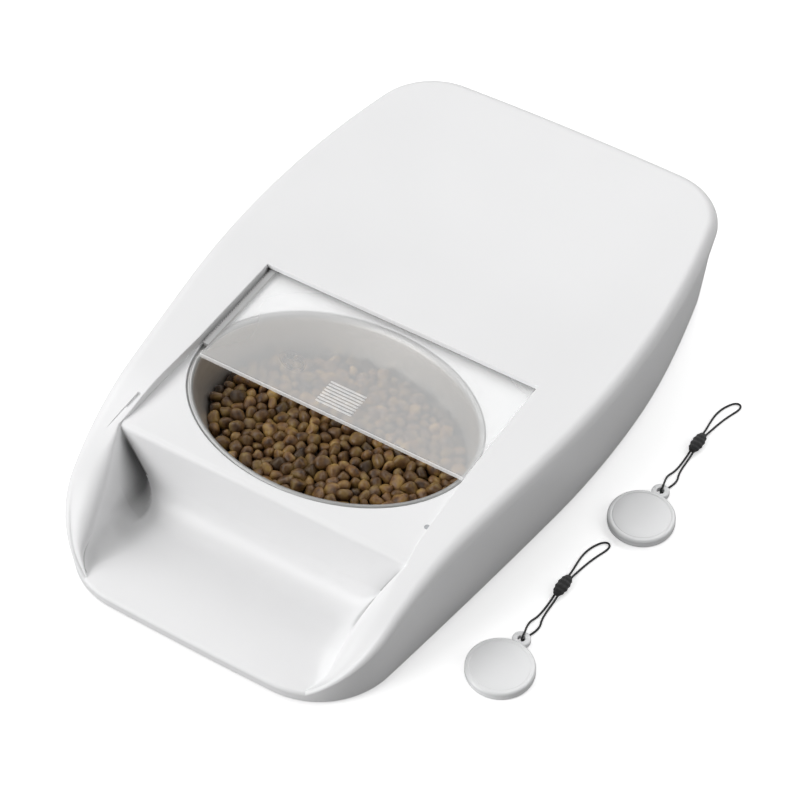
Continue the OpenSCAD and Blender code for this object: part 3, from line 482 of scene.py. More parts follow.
def top_z(y):
    if y > SLOPE_Y:
        return BODY_H
    if y > SLOPE_Y - SLOPE_RUN:
        return BODY_H - SLOPE_R + math.sqrt(SLOPE_R ** 2 - (SLOPE_Y - y) ** 2)
    return LIP_H


def edge_at(y):
    """Radius of the upper edge, smaller where the top is low."""
    return max(MIN_EDGE, EDGE_R * (top_z(y) - GROUND) / (BODY_H - GROUND))


def top_ring(t):
    """Where the top starts inside the rounded edge: x, y and height."""
    y = outline(t)[1]
    r = edge_at(y)
    x, ty = outline(t, draw_in(top_z(y) - r, y) + r)
    return x, ty, top_z(y)


def solve(t_low, t_high, test):
    """The place between two stations from which on the test holds."""
    for _ in range(SOLVE_STEPS):
        middle = (t_low + t_high) / 2
        if test(middle):
            t_high = middle
        else:
            t_low = middle
    return (t_low + t_high) / 2


def at_y(y):
    """The station whose top starts at y."""
    return solve(0.5, 5.5, lambda t: top_ring(t)[1] > y)


# Housing skin
TOP_ROUND, ARM_ROUND, DECK_ROUND, BACK_ROUND, FOOT_ROUND, SKIRT_R = 0.5, 7.0, 3.0, 14.0, 14.0, 0.6
STRIP_STEPS, ROUND_STEPS, RECESS_STEPS, WALL_STEPS, FOOT_STEPS = 2, 5, 2, 8, 9
SKIRT_STEPS, SIDE_STEPS, EDGE_STEPS, COLUMNS = 3, 10, 10, 14
FRONT_STEP, ROW_STEP, ROW_GAP = 0.035, 3.2, 0.7
ROOF_T, WALL_T, SPREAD, NEAR = 2.4, 1.5, 0.3, 0.001
RECESS_LEAN_Y, RECESS_LEAN_RUN, ARM_RUN = -101, 5, 25
BOWL_POINTS, LENS_POINTS = 160, 24
LEDGE = [(0.75, 0), (0.60, 0.04), (0.45, 0.15), (0.34, 0.3), (0.3, 0.5), (0.3, 1.6), (-2.6, 1.6)]


def scoop_half(y):
    """Half the width of the scoop's floor."""
    if y > SCOOP_WIDE_Y:
        t = (y - SCOOP_WIDE_Y) / (SCOOP_Y - SCOOP_WIDE_Y)
        return SCOOP_FRONT - (SCOOP_FRONT - SCOOP_BACK) * max(0, t) ** 1.6
    return SCOOP_FRONT - 14 * ((SCOOP_WIDE_Y - y) / 13) ** 2


def scoop_wall(y, z):
    """Half the width between the arms at a height; toward the back the walls lean outward."""
    lean = SCOOP_LEAN * max(0, (y - SCOOP_WIDE_Y) / (SCOOP_Y - SCOOP_WIDE_Y))
    return scoop_half(y) + lean * (z - SCOOP_Z)


def smooth_line(points, at):
    """A curve without overshoot through points of rising first value."""
    for k in range(len(points) - 1):
        if at <= points[k + 1][0] or k == len(points) - 2:
            break
    slopes = [(b[1] - a[1]) / (b[0] - a[0]) for a, b in zip(points, points[1:])]

    def slope(i):
        if i == 0 or i == len(points) - 1 or slopes[i - 1] * slopes[i] <= 0:
            return 0 if 0 < i < len(points) - 1 else slopes[min(i, len(slopes) - 1)]
        return 2 * slopes[i - 1] * slopes[i] / (slopes[i - 1] + slopes[i])

    (x0, y0), (x1, y1) = points[k], points[k + 1]
    h = x1 - x0
    u = (at - x0) / h
    return (y0 * (1 + 2 * u) * (1 - u) ** 2 + slope(k) * h * u * (1 - u) ** 2
            + y1 * u * u * (3 - 2 * u) + slope(k + 1) * h * u * u * (u - 1))


T_TIP = solve(0.5, 2.5, lambda t: outline(t)[1] > SLOPE_Y - SLOPE_RUN)
TIP_Y = top_ring(T_TIP)[1]
BACK_T = at_y(SCOOP_Y)
BACK_TOP = top_ring(BACK_T)[2]
RECESS_LINE = [(SCOOP_Y, scoop_wall(SCOOP_Y, BACK_TOP)), (-102.5, 74.4), (-96, 73.8), (-85, 73.7),
               (-65, 73.1), (-45, 72.5), (40, 72.5)]


def recess_half(y):
    """Half the width of the recess that holds the deck."""
    return smooth_line(RECESS_LINE, y)


def deck_level(y):
    """Height of the deck, which rounds down to the scoop's back wall."""
    u = (y - SCOOP_Y) / DECK_ROUND
    if u >= 1:
        return DECK_Z
    return DECK_Z - DECK_ROUND + DECK_ROUND * math.sqrt(max(0, 1 - (1 - max(0, u)) ** 2))


def floor_rise(y):
    """How far the scoop's floor has risen into the back wall."""
    u = min(1, max(0, (y - SCOOP_Y) / BACK_ROUND + 1))
    return BACK_ROUND * (1 - math.sqrt(1 - u ** 2))


def floor_level(y):
    """Height of the scoop's floor."""
    return LIP_H + 0.2 * ease((y - TIP_Y) / 8) + floor_rise(y)


def foot_curve(x_corner, low, lean, radius):
    """The hollow rounding from a leaning wall to the floor, as an arc that touches both."""
    turn = math.pi / 2 - math.atan(lean)
    reach = radius * math.tan(turn / 2)
    start = (x_corner + reach * math.cos(turn), low + reach * math.sin(turn))
    points = []
    for k in range(FOOT_STEPS + 1):
        u = k / FOOT_STEPS
        w = (1 - u) ** 2, 2 * u * (1 - u) * math.cos(turn / 2), u * u
        total = sum(w)
        points.append(((w[0] * start[0] + w[1] * x_corner + w[2] * (x_corner - reach)) / total,
                       (w[0] * start[1] + (w[1] + w[2]) * low) / total))
    return points


def rounding(x_out, x_in, z_top, drop):
    """The rounded upper edge, from the top to the wall below it."""
    points = []
    for k in range(ROUND_STEPS + 1):
        a = math.pi / 2 * k / ROUND_STEPS
        points.append((x_in + (x_out - x_in) * (1 - math.sin(a)), z_top - drop * (1 - math.cos(a))))
    return points


def strip(x_from, x_to, z):
    """The flat part of a row, without its end."""
    return [(x_from + (x_to - x_from) * k / STRIP_STEPS, z) for k in range(STRIP_STEPS)]


def recess_row(y, x_ring, z):
    """Section of the top beside the deck: top, rounded edge, wall."""
    low = deck_level(y)
    r = min(TOP_ROUND, 0.45 * (z - low))
    lean = SCOOP_LEAN * ease((RECESS_LEAN_Y - y) / RECESS_LEAN_RUN)
    x = recess_half(y)
    x_end = x - lean * r
    row = strip(x_ring, x + r, z) + rounding(x + r, x_end, z, r)
    z_end = z - r
    for k in range(1, RECESS_STEPS + 1):
        level = z_end + (low - z_end) * k / RECESS_STEPS
        row.append((x - lean * (z - level), level))
    return row


def scoop_row(y, x_ring, z):
    """Section of an arm and half the scoop: top, rounded edge, wall, foot, floor."""
    low = floor_level(y)
    h = z - low
    back = ease((y - (SCOOP_Y - ARM_RUN)) / ARM_RUN)
    back_r = min(TOP_ROUND, 0.45 * (BACK_TOP - deck_level(SCOOP_Y)))
    r = min(ARM_ROUND + (back_r - ARM_ROUND) * back, 0.4 * h)
    lean = scoop_wall(y, low + 1) - scoop_wall(y, low)
    foot = max(0.4, min(FOOT_ROUND - floor_rise(y), 0.55 * h))
    spread = SPREAD * (1 - ease(h / 6))

    def wall_x(level):
        return scoop_wall(y, level) + spread * (0 if h <= 0 else (level - low) / h)

    x_in = wall_x(z - r) if h > 0 else scoop_wall(y, z) + spread
    x_out = wall_x(z) + max(r, spread) if h > 0 else x_in + spread
    row = strip(x_ring, x_out, z) + rounding(x_out, x_in, z, r)
    curve = foot_curve(scoop_wall(y, low), low, lean, foot if h > 1 else 0.05)
    x_from, z_from = x_in, z - r
    z_to = curve[0][1] if h > 1 else low
    at_back = y > SCOOP_Y - NEAR
    for k in range(1, WALL_STEPS + 1):
        if at_back and k <= RECESS_STEPS:
            level = z_from + (deck_level(SCOOP_Y) - z_from) * k / RECESS_STEPS
        elif at_back:
            start = deck_level(SCOOP_Y)
            level = start + (z_to - start) * (k - RECESS_STEPS) / (WALL_STEPS - RECESS_STEPS)
        else:
            level = z_from + (z_to - z_from) * k / WALL_STEPS
        x = wall_x(level) if h > 1 else x_from + (curve[0][0] - x_from) * k / WALL_STEPS
        row.append((x, level))
    row += curve[1:]
    x_end = row[-1][0]
    return row + [(x_end * (1 - k / COLUMNS), low) for k in range(1, COLUMNS + 1)]


def front_ts(row):
    """Stations of the front edge whose top points stand in front of the row's points."""
    found = []
    for x, _ in row[1:]:
        found.append(0.0 if x < 1e-6 else solve(0, T_TIP, lambda t: top_ring(t)[0] > x))
    return found


def row_stations():
    """Stations that the rows of points start from, from the arm's tip to the slot."""
    ts = [T_TIP]
    while ts[-1] < 2:
        ts.append(ts[-1] + FRONT_STEP)
    y = top_ring(ts[-1])[1]
    while y < SLOT_Y + TOP_ROUND:
        y += ROW_STEP
        ts.append(at_y(y))
    special = [SCOOP_Y - BACK_ROUND + BACK_ROUND * math.sin(math.pi / 2 * k / 9) for k in range(10)]
    special += [SCOOP_Y + DECK_ROUND * (1 - math.cos(math.pi / 2 * k / 4)) for k in range(1, 5)]
    special += [SLOT_Y - 0.6, SLOT_Y + TOP_ROUND]
    keep = [t for t in ts if all(abs(top_ring(t)[1] - s) > ROW_GAP for s in special)
            and top_ring(t)[1] < SLOT_Y + TOP_ROUND]
    keep[0] = T_TIP
    return sorted(keep + [at_y(s) for s in special])


def rear_stations():
    """Stations from the slot to the middle of the rear."""
    ts = [at_y(SLOT_Y + TOP_ROUND)]
    while ts[-1] < 6:
        ts.append(min(6, ts[-1] + (0.06 if ts[-1] < 4 else 0.05 if ts[-1] < 5 else 0.12)))
    return ts[1:]


def outer_column(t):
    """The outside from the skirt up to the top, at one station."""
    y = outline(t)[1]
    r = edge_at(y)
    z_edge = top_z(y) - r
    column = [(*outline(t, draw_in(GROUND, y) + SKIRT_R), GROUND)]
    for k in range(1, SKIRT_STEPS + 1):
        a = math.pi / 2 * k / SKIRT_STEPS
        z = GROUND + SKIRT_R * (1 - math.cos(a))
        column.append((*outline(t, draw_in(z, y) + SKIRT_R * (1 - math.sin(a))), z))
    low = GROUND + SKIRT_R
    for k in range(1, SIDE_STEPS + 1):
        z = low + (z_edge - low) * k / SIDE_STEPS
        column.append((*outline(t, draw_in(z, y)), z))
    for k in range(1, EDGE_STEPS + 1):
        a = math.pi / 2 * k / EDGE_STEPS
        column.append((*outline(t, draw_in(z_edge, y) + r * (1 - math.cos(a))), z_edge + r * math.sin(a)))
    return column


def arm_rows(ts):
    """Rows of points across an arm and half the scoop, from the tip to the back wall."""
    rows = []
    for t in ts:
        x, y, z = top_ring(t)
        y = SCOOP_Y if t == ts[-1] else y
        rows.append([(px, y, pz) for px, pz in scoop_row(y, x, z)])
    return rows


def deck_rows(ts, first):
    """Rows of points beside the deck, from the scoop's back wall to the slot."""
    rows = [first]
    for t in ts[1:-1]:
        x, y, z = top_ring(t)
        rows.append([(px, y, pz) for px, pz in recess_row(y, x, z)])
    x, _, z = top_ring(ts[-1])
    last = []
    for k, (px, pz) in enumerate(recess_row(SLOT_Y, x, z)):
        beyond = TOP_ROUND if k <= STRIP_STEPS else max(0, px - recess_half(SLOT_Y))
        last.append((px, SLOT_Y + beyond, pz))
    last[-2] = (last[-2][0], SLOT_Y, BODY_H - ROOF_T)
    return rows + [last]


def across(point):
    """Points on one level from the given one to the middle plane."""
    x, y, z = point
    return [(x * (1 - k / COLUMNS), y, z) for k in range(COLUMNS + 1)]


def mirror(points):
    return [(-x, y, z) for x, y, z in points]


def add_left_half(bm):
    made = bmesh.ops.duplicate(bm, geom=bm.verts[:] + bm.edges[:] + bm.faces[:])
    faces = [g for g in made["geom"] if isinstance(g, bmesh.types.BMFace)]
    verts = [g for g in made["geom"] if isinstance(g, bmesh.types.BMVert)]
    for v in verts:
        v.co.x = -v.co.x
    bmesh.ops.reverse_faces(bm, faces=faces)
    weld(bm)


def ellipse(a, b, z, count, centre=(0, BOWL_Y)):
    turns = [2 * math.pi * i / count for i in range(count)]
    return [(centre[0] + a * math.cos(turn), centre[1] + b * math.sin(turn), z) for turn in turns]


def bowl_ring(out, z, count=BOWL_POINTS):
    """The outline of the bowl's rim, grown by a distance, at a height."""
    return ellipse(BOWL_HALF[0] + out, BOWL_HALF[1] + out, z, count)


def face_up(face):
    face.normal_update()
    if face.normal.z < 0:
        face.normal_flip()


def fill_flat(bm, border, holes, z):
    """A flat face with holes, as triangles."""
    points = [Vector(p[:2]) for p in border]
    edges = [(i, (i + 1) % len(border)) for i in range(len(border))]
    for hole in holes:
        start = len(points)
        points += [Vector(p[:2]) for p in hole]
        edges += [(start + i, start + (i + 1) % len(hole)) for i in range(len(hole))]
    out, _, faces, _, _, _ = delaunay_2d_cdt(points, edges, [], 1, 1e-5)
    verts = [bm.verts.new((p.x, p.y, z)) for p in out]

    def inside(p, ring):
        hit = False
        for (ax, ay), (bx, by) in zip(ring, ring[1:] + ring[:1]):
            if (ay > p[1]) != (by > p[1]) and p[0] < (bx - ax) * (p[1] - ay) / (by - ay) + ax:
                hit = not hit
        return hit

    rings = [[tuple(p[:2]) for p in hole] for hole in holes]
    rim = [tuple(p[:2]) for p in border]
    for face in faces:
        centre = [sum(out[i][k] for i in face) / len(face) for k in (0, 1)]
        if inside(centre, rim) and not any(inside(centre, ring) for ring in rings):
            face_up(bm.faces.new([verts[i] for i in face]))


def add_tip(bm, front_line, first):
    """The strip between the front edge and the first row across the scoop."""
    a = [bm.verts.new(p) for p in front_line]
    b = [bm.verts.new(p) for p in first]
    bm.faces.new((a[0], a[1], b[1]))
    for i in range(1, len(first) - 1):
        bm.faces.new((b[i], a[i], a[i + 1], b[i + 1]))


def housing_skin():
    """The outside of the housing as one sheet: the right half, its mirror image, roof and deck."""
    bm = bmesh.new()
    ts, rear = row_stations(), rear_stations()
    tip_x, _, tip_z = top_ring(T_TIP)
    tip_row = scoop_row(TIP_Y, tip_x, tip_z)
    front = front_ts(tip_row)
    add_grid(bm, list(zip(*[outer_column(t) for t in sorted(front) + ts + rear])))
    add_tip(bm, [top_ring(t) for t in [T_TIP] + front], [(x, TIP_Y, z) for x, z in tip_row])

    # The arms and the scoop, then the scoop's back wall
    arms = arm_rows([t for t in ts if top_ring(t)[1] < SCOOP_Y + NEAR])
    add_grid(bm, arms)
    side = STRIP_STEPS + ROUND_STEPS + RECESS_STEPS
    back = arms[-1]
    add_grid(bm, [across(p) for p in back[side:len(back) - COLUMNS]])

    # Beside the deck, the deck's rounded front edge and the slot's upper edge
    deck_t = [t for t in ts if top_ring(t)[1] > SCOOP_Y - NEAR]
    rows = deck_rows(deck_t, back[:side + 1])
    add_grid(bm, rows)
    edge_rows = [across(row[-1]) for row in rows if row[-1][1] < SCOOP_Y + DECK_ROUND + NEAR]
    add_grid(bm, edge_rows)
    slot = rows[-1]
    add_grid(bm, [across(p) for p in slot[STRIP_STEPS:-1]])
    add_left_half(bm)

    # The flat roof
    ring = [top_ring(t) for t in deck_t[-1:] + rear]
    ring[-1] = (0.0, ring[-1][1], BODY_H)
    edge = slot[1:STRIP_STEPS] + across(slot[STRIP_STEPS])
    border = ring + mirror(ring[-2::-1]) + mirror(edge) + edge[-2::-1]
    face_up(bm.faces.new([bm.verts.new((x, y, BODY_H)) for x, y, _ in border]))

    # The deck, with the ledge that the bowl hangs in and the hole of the lens
    right = edge_rows[-1][::-1] + [row[-1] for row in rows[len(edge_rows):]]
    right.append((recess_half(SLOT_Y), SLOT_Y + 2, DECK_Z))
    hole = bowl_ring(LEDGE[0][0], DECK_Z)
    lens = ellipse(LENS_HOLE, LENS_HOLE, DECK_Z, LENS_POINTS, LENS)
    fill_flat(bm, right + mirror(right[:0:-1]), [hole, lens], DECK_Z)
    add_grid(bm, [bowl_ring(out, DECK_Z - down) for out, down in LEDGE[::-1]], closed=True)
    weld(bm)
    bmesh.ops.recalc_face_normals(bm, faces=bm.faces)
    return bm


BUTTON_X, BUTTON_Z, BUTTON_HOLE, BORE_LEN = 20, 26, 5.8, 14
SLIT_RISE = 6
SLITS = [((-75.9, -88.5), (-76.6, -97.5), 1.9, (1.4, 1.2)), ((-76.8, -97), (-78.9, -114), 1.4, (0.6, -0.15))]
SKY_RAYS, SKY_REACH, SKY_START, SKY_PASSES, SKY_ASIDE = 72, 34, 0.4, 6, 0.5


def slit_cutter(start, end, width, deep):
    """A slit in an arm's top from one place to another, with a depth at each end."""
    bm = bmesh.new()
    ends = [Vector((*place, top_z(place[1]) - d)) for place, d in zip((start, end), deep)]
    along = (ends[1] - ends[0]).normalized()
    aside = along.cross(Vector((0, 0, 1))).normalized() * width / 2
    up = Vector((0, 0, SLIT_RISE))
    rings = []
    for share, part in ((0, 0.25), (0.02, 0.7), (0.06, 1), (0.94, 1), (0.98, 0.7), (1, 0.25)):
        low = ends[0].lerp(ends[1], share)
        left, right = low - aside * part, low + aside * part
        rings.append([left, right, right + up, left + up])
    close_ends(bm, add_grid(bm, rings, closed=True))
    return bm


def bore_cutter(x):
    """The hole of a button in the rear wall."""
    bm = bmesh.new()
    r = BUTTON_HOLE
    bmesh.ops.create_cone(bm, cap_ends=True, segments=64, radius1=r, radius2=r, depth=BORE_LEN)
    bmesh.ops.rotate(bm, matrix=Matrix.Rotation(math.pi / 2, 3, "X"), verts=bm.verts)
    bmesh.ops.translate(bm, vec=(x, HALF_L - 2, BUTTON_Z), verts=bm.verts)
    return bm


def carve(obj, cutters):
    """Cuts the given forms out of a piece and leaves nothing of them behind."""
    tools = []
    for k, bm in enumerate(cutters):
        bmesh.ops.scale(bm, vec=(MM, MM, MM), verts=bm.verts)
        mesh = bpy.data.meshes.new("cutter")
        bm.to_mesh(mesh)
        bm.free()
        tool = bpy.data.objects.new("cutter", mesh)
        scene.collection.objects.link(tool)
        cut = obj.modifiers.new("cut", "BOOLEAN")
        cut.object = tool
        cut.solver = "EXACT"
        tools.append(tool)
    result = bpy.data.meshes.new_from_object(obj.evaluated_get(bpy.context.evaluated_depsgraph_get()))
    obj.modifiers.clear()
    obj.data = result
    for tool in tools:
        bpy.data.meshes.remove(tool.data)
    bm = bmesh.new()
    bm.from_mesh(result)
    sharpen(bm, EDGE_ANGLE)
    bm.to_mesh(result)
    bm.free()


def sky_rays(count):
    """Ways into the upper half space, as many as light from a plain sky comes in by."""
    rays = []
    for k in range(count):
        turn, share = k * math.pi * (3 - math.sqrt(5)), (k + 0.5) / count
        aside = math.sqrt(share)
        rays.append((math.cos(turn) * aside, math.sin(turn) * aside, math.sqrt(1 - share)))
    return rays


def store_open_sky(obj):
    """Keeps at each point of the scoop's side walls how much of the sky the walls leave open; the housing's
    plastic turns this into painted shade.
    """
    mesh = obj.data
    tree = BVHTree.FromPolygons([v.co for v in mesh.vertices], [f.vertices[:] for f in mesh.polygons])
    rays = [Vector(ray) for ray in sky_rays(SKY_RAYS)]
    values = np.ones(len(mesh.vertices))
    for v in mesh.vertices:
        if v.co.y < (SCOOP_Y + 4) * MM and v.normal.length > 0.5:
            turn = v.normal.to_track_quat("Z", "Y")
            start = v.co + v.normal * SKY_START * MM
            hits = sum(tree.ray_cast(start, turn @ ray, SKY_REACH * MM)[0] is not None for ray in rays)
            values[v.index] = 1 - hits / len(rays)
    a, b = np.array([e.vertices[:] for e in mesh.edges]).T
    beside = np.maximum(1, np.bincount(np.concatenate((a, b)), minlength=len(values)))
    for _ in range(SKY_PASSES):
        around = np.bincount(a, values[b], len(values)) + np.bincount(b, values[a], len(values))
        values = 0.5 * values + 0.5 * around / beside
    # Only walls that face sideways keep this painted shade
    aside = np.array([min(1, abs(v.normal.x) / SKY_ASIDE) for v in mesh.vertices])
    values = 1 - (1 - values) * aside
    mesh.attributes.new("open_sky", "FLOAT", "POINT").data.foreach_set("value", values)


def make_housing():
    skin = make_piece("housing_shell", housing_skin(), "housing", "housing_white", weighted=False)
    wall = skin.modifiers.new("wall", "SOLIDIFY")
    wall.thickness = WALL_T * MM
    wall.offset = -1
    carve(skin, [bore_cutter(x) for x in (-BUTTON_X, BUTTON_X)] + [slit_cutter(*slit) for slit in SLITS])
    store_open_sky(skin)
    skin.modifiers.new("weighted", "WEIGHTED_NORMAL").keep_sharp = True
    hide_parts("top_housing")


make_housing()


# Bowl
WALL_SHARES = [0, 0.004, 0.012, 0.03, 0.06, 0.1, 0.15, 0.21, 0.28, 0.36, 0.45, 0.54, 0.63, 0.72, 0.8,
               0.87, 0.92]
CROWN = [(2.95, -1.7), (2.7, -1.1), (2.35, -0.6), (1.95, -0.24), (1.55, -0.06), (1.15, 0), (0.72, -0.08),
         (0.35, -0.28), (0.09, -0.6), (0.0, -0.95), (0.1, -1.25), (0.4, -1.38), (RIM_W - 0.2, -1.39)]
RIM_H = 1.0


def bowl_inset(share):
    """How far the wall stands inside the rim at a share of the bowl's depth."""
    return smooth_line(BOWL_PROFILE, share)


def bowl_mesh():
    """Drawn steel: inside wall, crowned rim and outside wall in one skin."""
    section = [(RIM_W + BOWL_T + bowl_inset(s), BOWL_FLOOR + s * (BOWL_DEPTH + 1)) for s in WALL_SHARES]
    section += [(inset, RIM_TOP + z) for inset, z in CROWN]
    section += [(RIM_W + bowl_inset(s), BOWL_FLOOR - BOWL_T + s * (BOWL_DEPTH + BOWL_T))
                for s in WALL_SHARES[::-1]]
    bm = bmesh.new()
    close_ends(bm, add_grid(bm, [bowl_ring(-inset, z) for inset, z in section], closed=True))
    for face in bm.faces:
        if face.calc_center_median().z > RIM_TOP - RIM_H:
            face.material_index = 1
    return bm


bowl = make_piece("drawn_steel_bowl", bowl_mesh(), "housing", "bowl_steel", ["bowl_steel", "bowl_rim"],
                  angle=50)
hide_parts("bowl")


# Kibble
KIBBLE_SEED, KIBBLE_LAYERS, KIBBLE_STEP, KIBBLE_R = 7, 3, 5.7, (2.6, 3.6)
HEAP, LAYER_DROP, SETTLE_ROUNDS, TOUCH = 33.0, 4.3, 45, 0.93
# Pellets deeper than DEEP under the heap's top all take the dark material as painted shade; the shares give
# the others brown, dark or gold at random
DEEP, TONE_SHARES = 4.2, (0.62, 0.08, 0.30)
MOUND_GAP, MOUND_POINTS, MOUND_SHARES = 0.25, 96, (0, 0.02, 0.06, 0.12, 0.2, 0.28)


def heap_level(x, y):
    """Height of the food: nearly level, a little higher in the middle and at the right."""
    return HEAP + 0.8 * x / 60 + 1.2 * (1 - (x / 66) ** 2 - ((y - BOWL_Y) / 48) ** 2)


def bowl_reach(z, gap):
    """Half axes of the room inside the bowl at a height, less a gap."""
    share = np.clip((z - BOWL_FLOOR) / (BOWL_DEPTH + 1), 0, 1)
    inset = RIM_W + BOWL_T + np.interp(share, *zip(*BOWL_PROFILE)) + gap
    return BOWL_HALF[0] - inset, BOWL_HALF[1] - inset


def settle(rng):
    """Places the pellets in layers, then pushes them apart until they rest in the bowl."""
    spots = []
    for layer in range(KIBBLE_LAYERS):
        for row in range(-10, 11):
            for col in range(-14, 15):
                x = (col + 0.5 * ((row + layer) % 2)) * KIBBLE_STEP + 1.6 * layer
                y = BOWL_Y + row * KIBBLE_STEP * 0.87 + 1.1 * layer
                x, y = x + rng.uniform(-0.9, 0.9), y + rng.uniform(-0.9, 0.9)
                z = heap_level(x, y) - 2.6 - LAYER_DROP * layer + rng.uniform(-0.7, 0.7)
                a, b = bowl_reach(z, 2.6)
                if (x / a) ** 2 + ((y - BOWL_Y) / b) ** 2 < 1:
                    spots.append((x, y, z))
    at = np.array(spots)
    size = rng.uniform(*KIBBLE_R, len(at))
    for _ in range(SETTLE_ROUNDS):
        between = at[:, None, :] - at[None, :, :]
        far = np.sqrt((between ** 2).sum(2)) + np.eye(len(at)) * 99
        push = np.clip(TOUCH * (size[:, None] + size[None, :]) - far, 0, None)
        at += 0.28 * (between / far[:, :, None] * push[:, :, None]).sum(1)
        level = heap_level(at[:, 0], at[:, 1])
        at[:, 2] = np.clip(at[:, 2] - 0.04, level - 13, level - 1.2)
        a, b = bowl_reach(at[:, 2], 0.85 * size)
        out = np.sqrt((at[:, 0] / a) ** 2 + ((at[:, 1] - BOWL_Y) / b) ** 2)
        pull = np.where(out > 1, 1 / out, 1)
        at[:, 0] *= pull
        at[:, 1] = BOWL_Y + (at[:, 1] - BOWL_Y) * pull
    return at, size


def pellet_directions():
    """The points of an evenly divided ball, and its faces."""
    bm = bmesh.new()
    bmesh.ops.create_cube(bm, size=2)
    bmesh.ops.subdivide_edges(bm, edges=bm.edges, cuts=4, use_grid_fill=True)
    points = np.array([v.co.normalized() for v in bm.verts])
    faces = [[v.index for v in f.verts] for f in bm.faces]
    bm.free()
    return points, faces


def pellet(rng, directions):
    """A rounded lump: a flattened, slightly square form with dents."""
    power = rng.uniform(2.2, 3.6)
    form = directions / (np.abs(directions) ** power).sum(1, keepdims=True) ** (1 / power)
    for _ in range(4):
        way = rng.normal(size=3)
        way /= np.linalg.norm(way)
        form *= 1 + rng.uniform(0.03, 0.08) * np.sin(rng.uniform(2, 4.5) * directions @ way
                                                     + rng.uniform(0, 6.3))[:, None]
    form = form * [rng.uniform(0.98, 1.15), rng.uniform(0.86, 1.0), rng.uniform(0.62, 0.88)]
    turn, _ = np.linalg.qr(rng.normal(size=(3, 3)))
    return form @ turn.T if np.linalg.det(turn) > 0 else form @ -turn.T


def food_mound():
    """What lies under the visible pellets, in the dark material: painted shade."""
    section = [(RIM_W + BOWL_T + bowl_inset(s) + MOUND_GAP, BOWL_FLOOR + MOUND_GAP + s * (BOWL_DEPTH + 1))
               for s in MOUND_SHARES]
    rows = [bowl_ring(-inset, z, MOUND_POINTS) for inset, z in section]
    rows += [[(x * f, BOWL_Y + (y - BOWL_Y) * f, z) for x, y, z in rows[-1]] for f in (0.8, 0.6, 0.4, 0.2)]
    bm = bmesh.new()
    close_ends(bm, add_grid(bm, rows, closed=True))
    return bm


def make_kibble():
    rng = np.random.default_rng(KIBBLE_SEED)
    at, size = settle(rng)
    directions, faces = pellet_directions()
    points, corners, tones = [], [], []
    for place, r in zip(at, size):
        start = len(points) * len(directions)
        points.append((pellet(rng, directions) * r + place) * MM)
        corners += [[start + i for i in face] for face in faces]
        # Deep pellets get the dark material as painted shade; the others get a random tone
        deep = heap_level(place[0], place[1]) - place[2] > DEEP
        tones += [1 if deep else int(rng.choice(3, p=TONE_SHARES))] * len(faces)
    mesh = bpy.data.meshes.new("kibble_pellets")
    mesh.from_pydata(np.concatenate(points).tolist(), [], corners)
    mesh.polygons.foreach_set("use_smooth", [True] * len(corners))
    pellets = link_mesh("kibble_pellets", mesh, ["kibble_brown", "kibble_dark_and_painted_shade", "kibble_gold"])
    mesh.polygons.foreach_set("material_index", tones)
    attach(pellets, "housing")
    mound = make_piece("kibble_below", food_mound(), "housing", "kibble_brown", ["kibble_dark_and_painted_shade"])
    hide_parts("kibble")
    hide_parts("kibble")


make_kibble()


# Lid
RIDGE_COUNT, RIDGE_STEP, RIDGE_W, RIDGE_H = 8, 1.8, 0.9, 0.4
RIDGE_FROM, RIDGE_LEN, RIDGE_X = 4.5, 19, 1
RIDGE_FORM = ((-0.1, 0), (0.08, 0.55), (0.28, 0.92), (0.5, 1), (0.72, 0.92), (0.92, 0.55), (1.1, 0))
RIDGE_ENDS = [(0, 0), (0.25, 0.5), (0.6, 0.85), (1.1, 1)]
LIP_W = 0.58


def lid_mesh():
    """The frosted panel, with its lip and its grip ridges, as one skin."""
    low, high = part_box("lid_panel")
    x0, y0, z0 = (v / MM for v in low)
    x1, y1, z_lip = (v / MM for v in high)
    z1 = z_lip - RIDGE_H
    lip = [(y0, z0 + 0.25), (y0, z_lip - 0.3), (y0 + 0.09, z_lip - 0.09), (y0 + 0.25, z_lip),
           (y0 + 0.4, z_lip), (y0 + 0.55, z_lip - 0.1), (y0 + 0.62, z1 - 0.3), (y0 + 0.85, z1 - 0.4),
           (y0 + 1.08, z1 - 0.3), (y0 + 1.2, z1)]
    bumps = []
    for i in range(RIDGE_COUNT):
        start = y0 + RIDGE_FROM + i * RIDGE_STEP
        bumps += [(start + RIDGE_W * u, v) for u, v in RIDGE_FORM]
    rear = [(y1 - 0.25, z1), (y1, z1 - 0.25), (y1, z0 + 0.25), (y1 - 0.25, z0), (y0 + 0.25, z0)]
    half = RIDGE_LEN / 2
    stations = [(x0, 0, 0.25), (x0 + 0.25, 0, 0)]
    stations += [(RIDGE_X - half + step, share, 0) for step, share in RIDGE_ENDS]
    stations += [(RIDGE_X + half - step, share, 0) for step, share in RIDGE_ENDS[::-1]]
    stations += [(x1 - 0.25, 0, 0), (x1, 0, 0.25)]
    middle = (z0 + z1) / 2
    rows = []
    for x, share, inset in stations:
        section = lip + [(y, z1 + v * RIDGE_H * share) for y, v in bumps] + rear
        rows.append([(x, min(max(y, y0 + inset), y1 - inset), z - math.copysign(inset, z - middle))
                     for y, z in section])
    bm = bmesh.new()
    close_ends(bm, add_grid(bm, rows, closed=True))
    for face in bm.faces:
        centre = face.calc_center_median()
        if centre.y < y0 + LIP_W or centre.z > z1 + 0.05:
            face.material_index = 1
    return bm


lid = make_piece("frosted_lid", lid_mesh(), "lid", "lid_frosted", ["lid_frosted", "lid_edge"], angle=40)
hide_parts("lid_panel")


# Shells of the collar tags
TAG_HALVES = (("front", 4.6, 3.85), ("back", 0, 1.15))


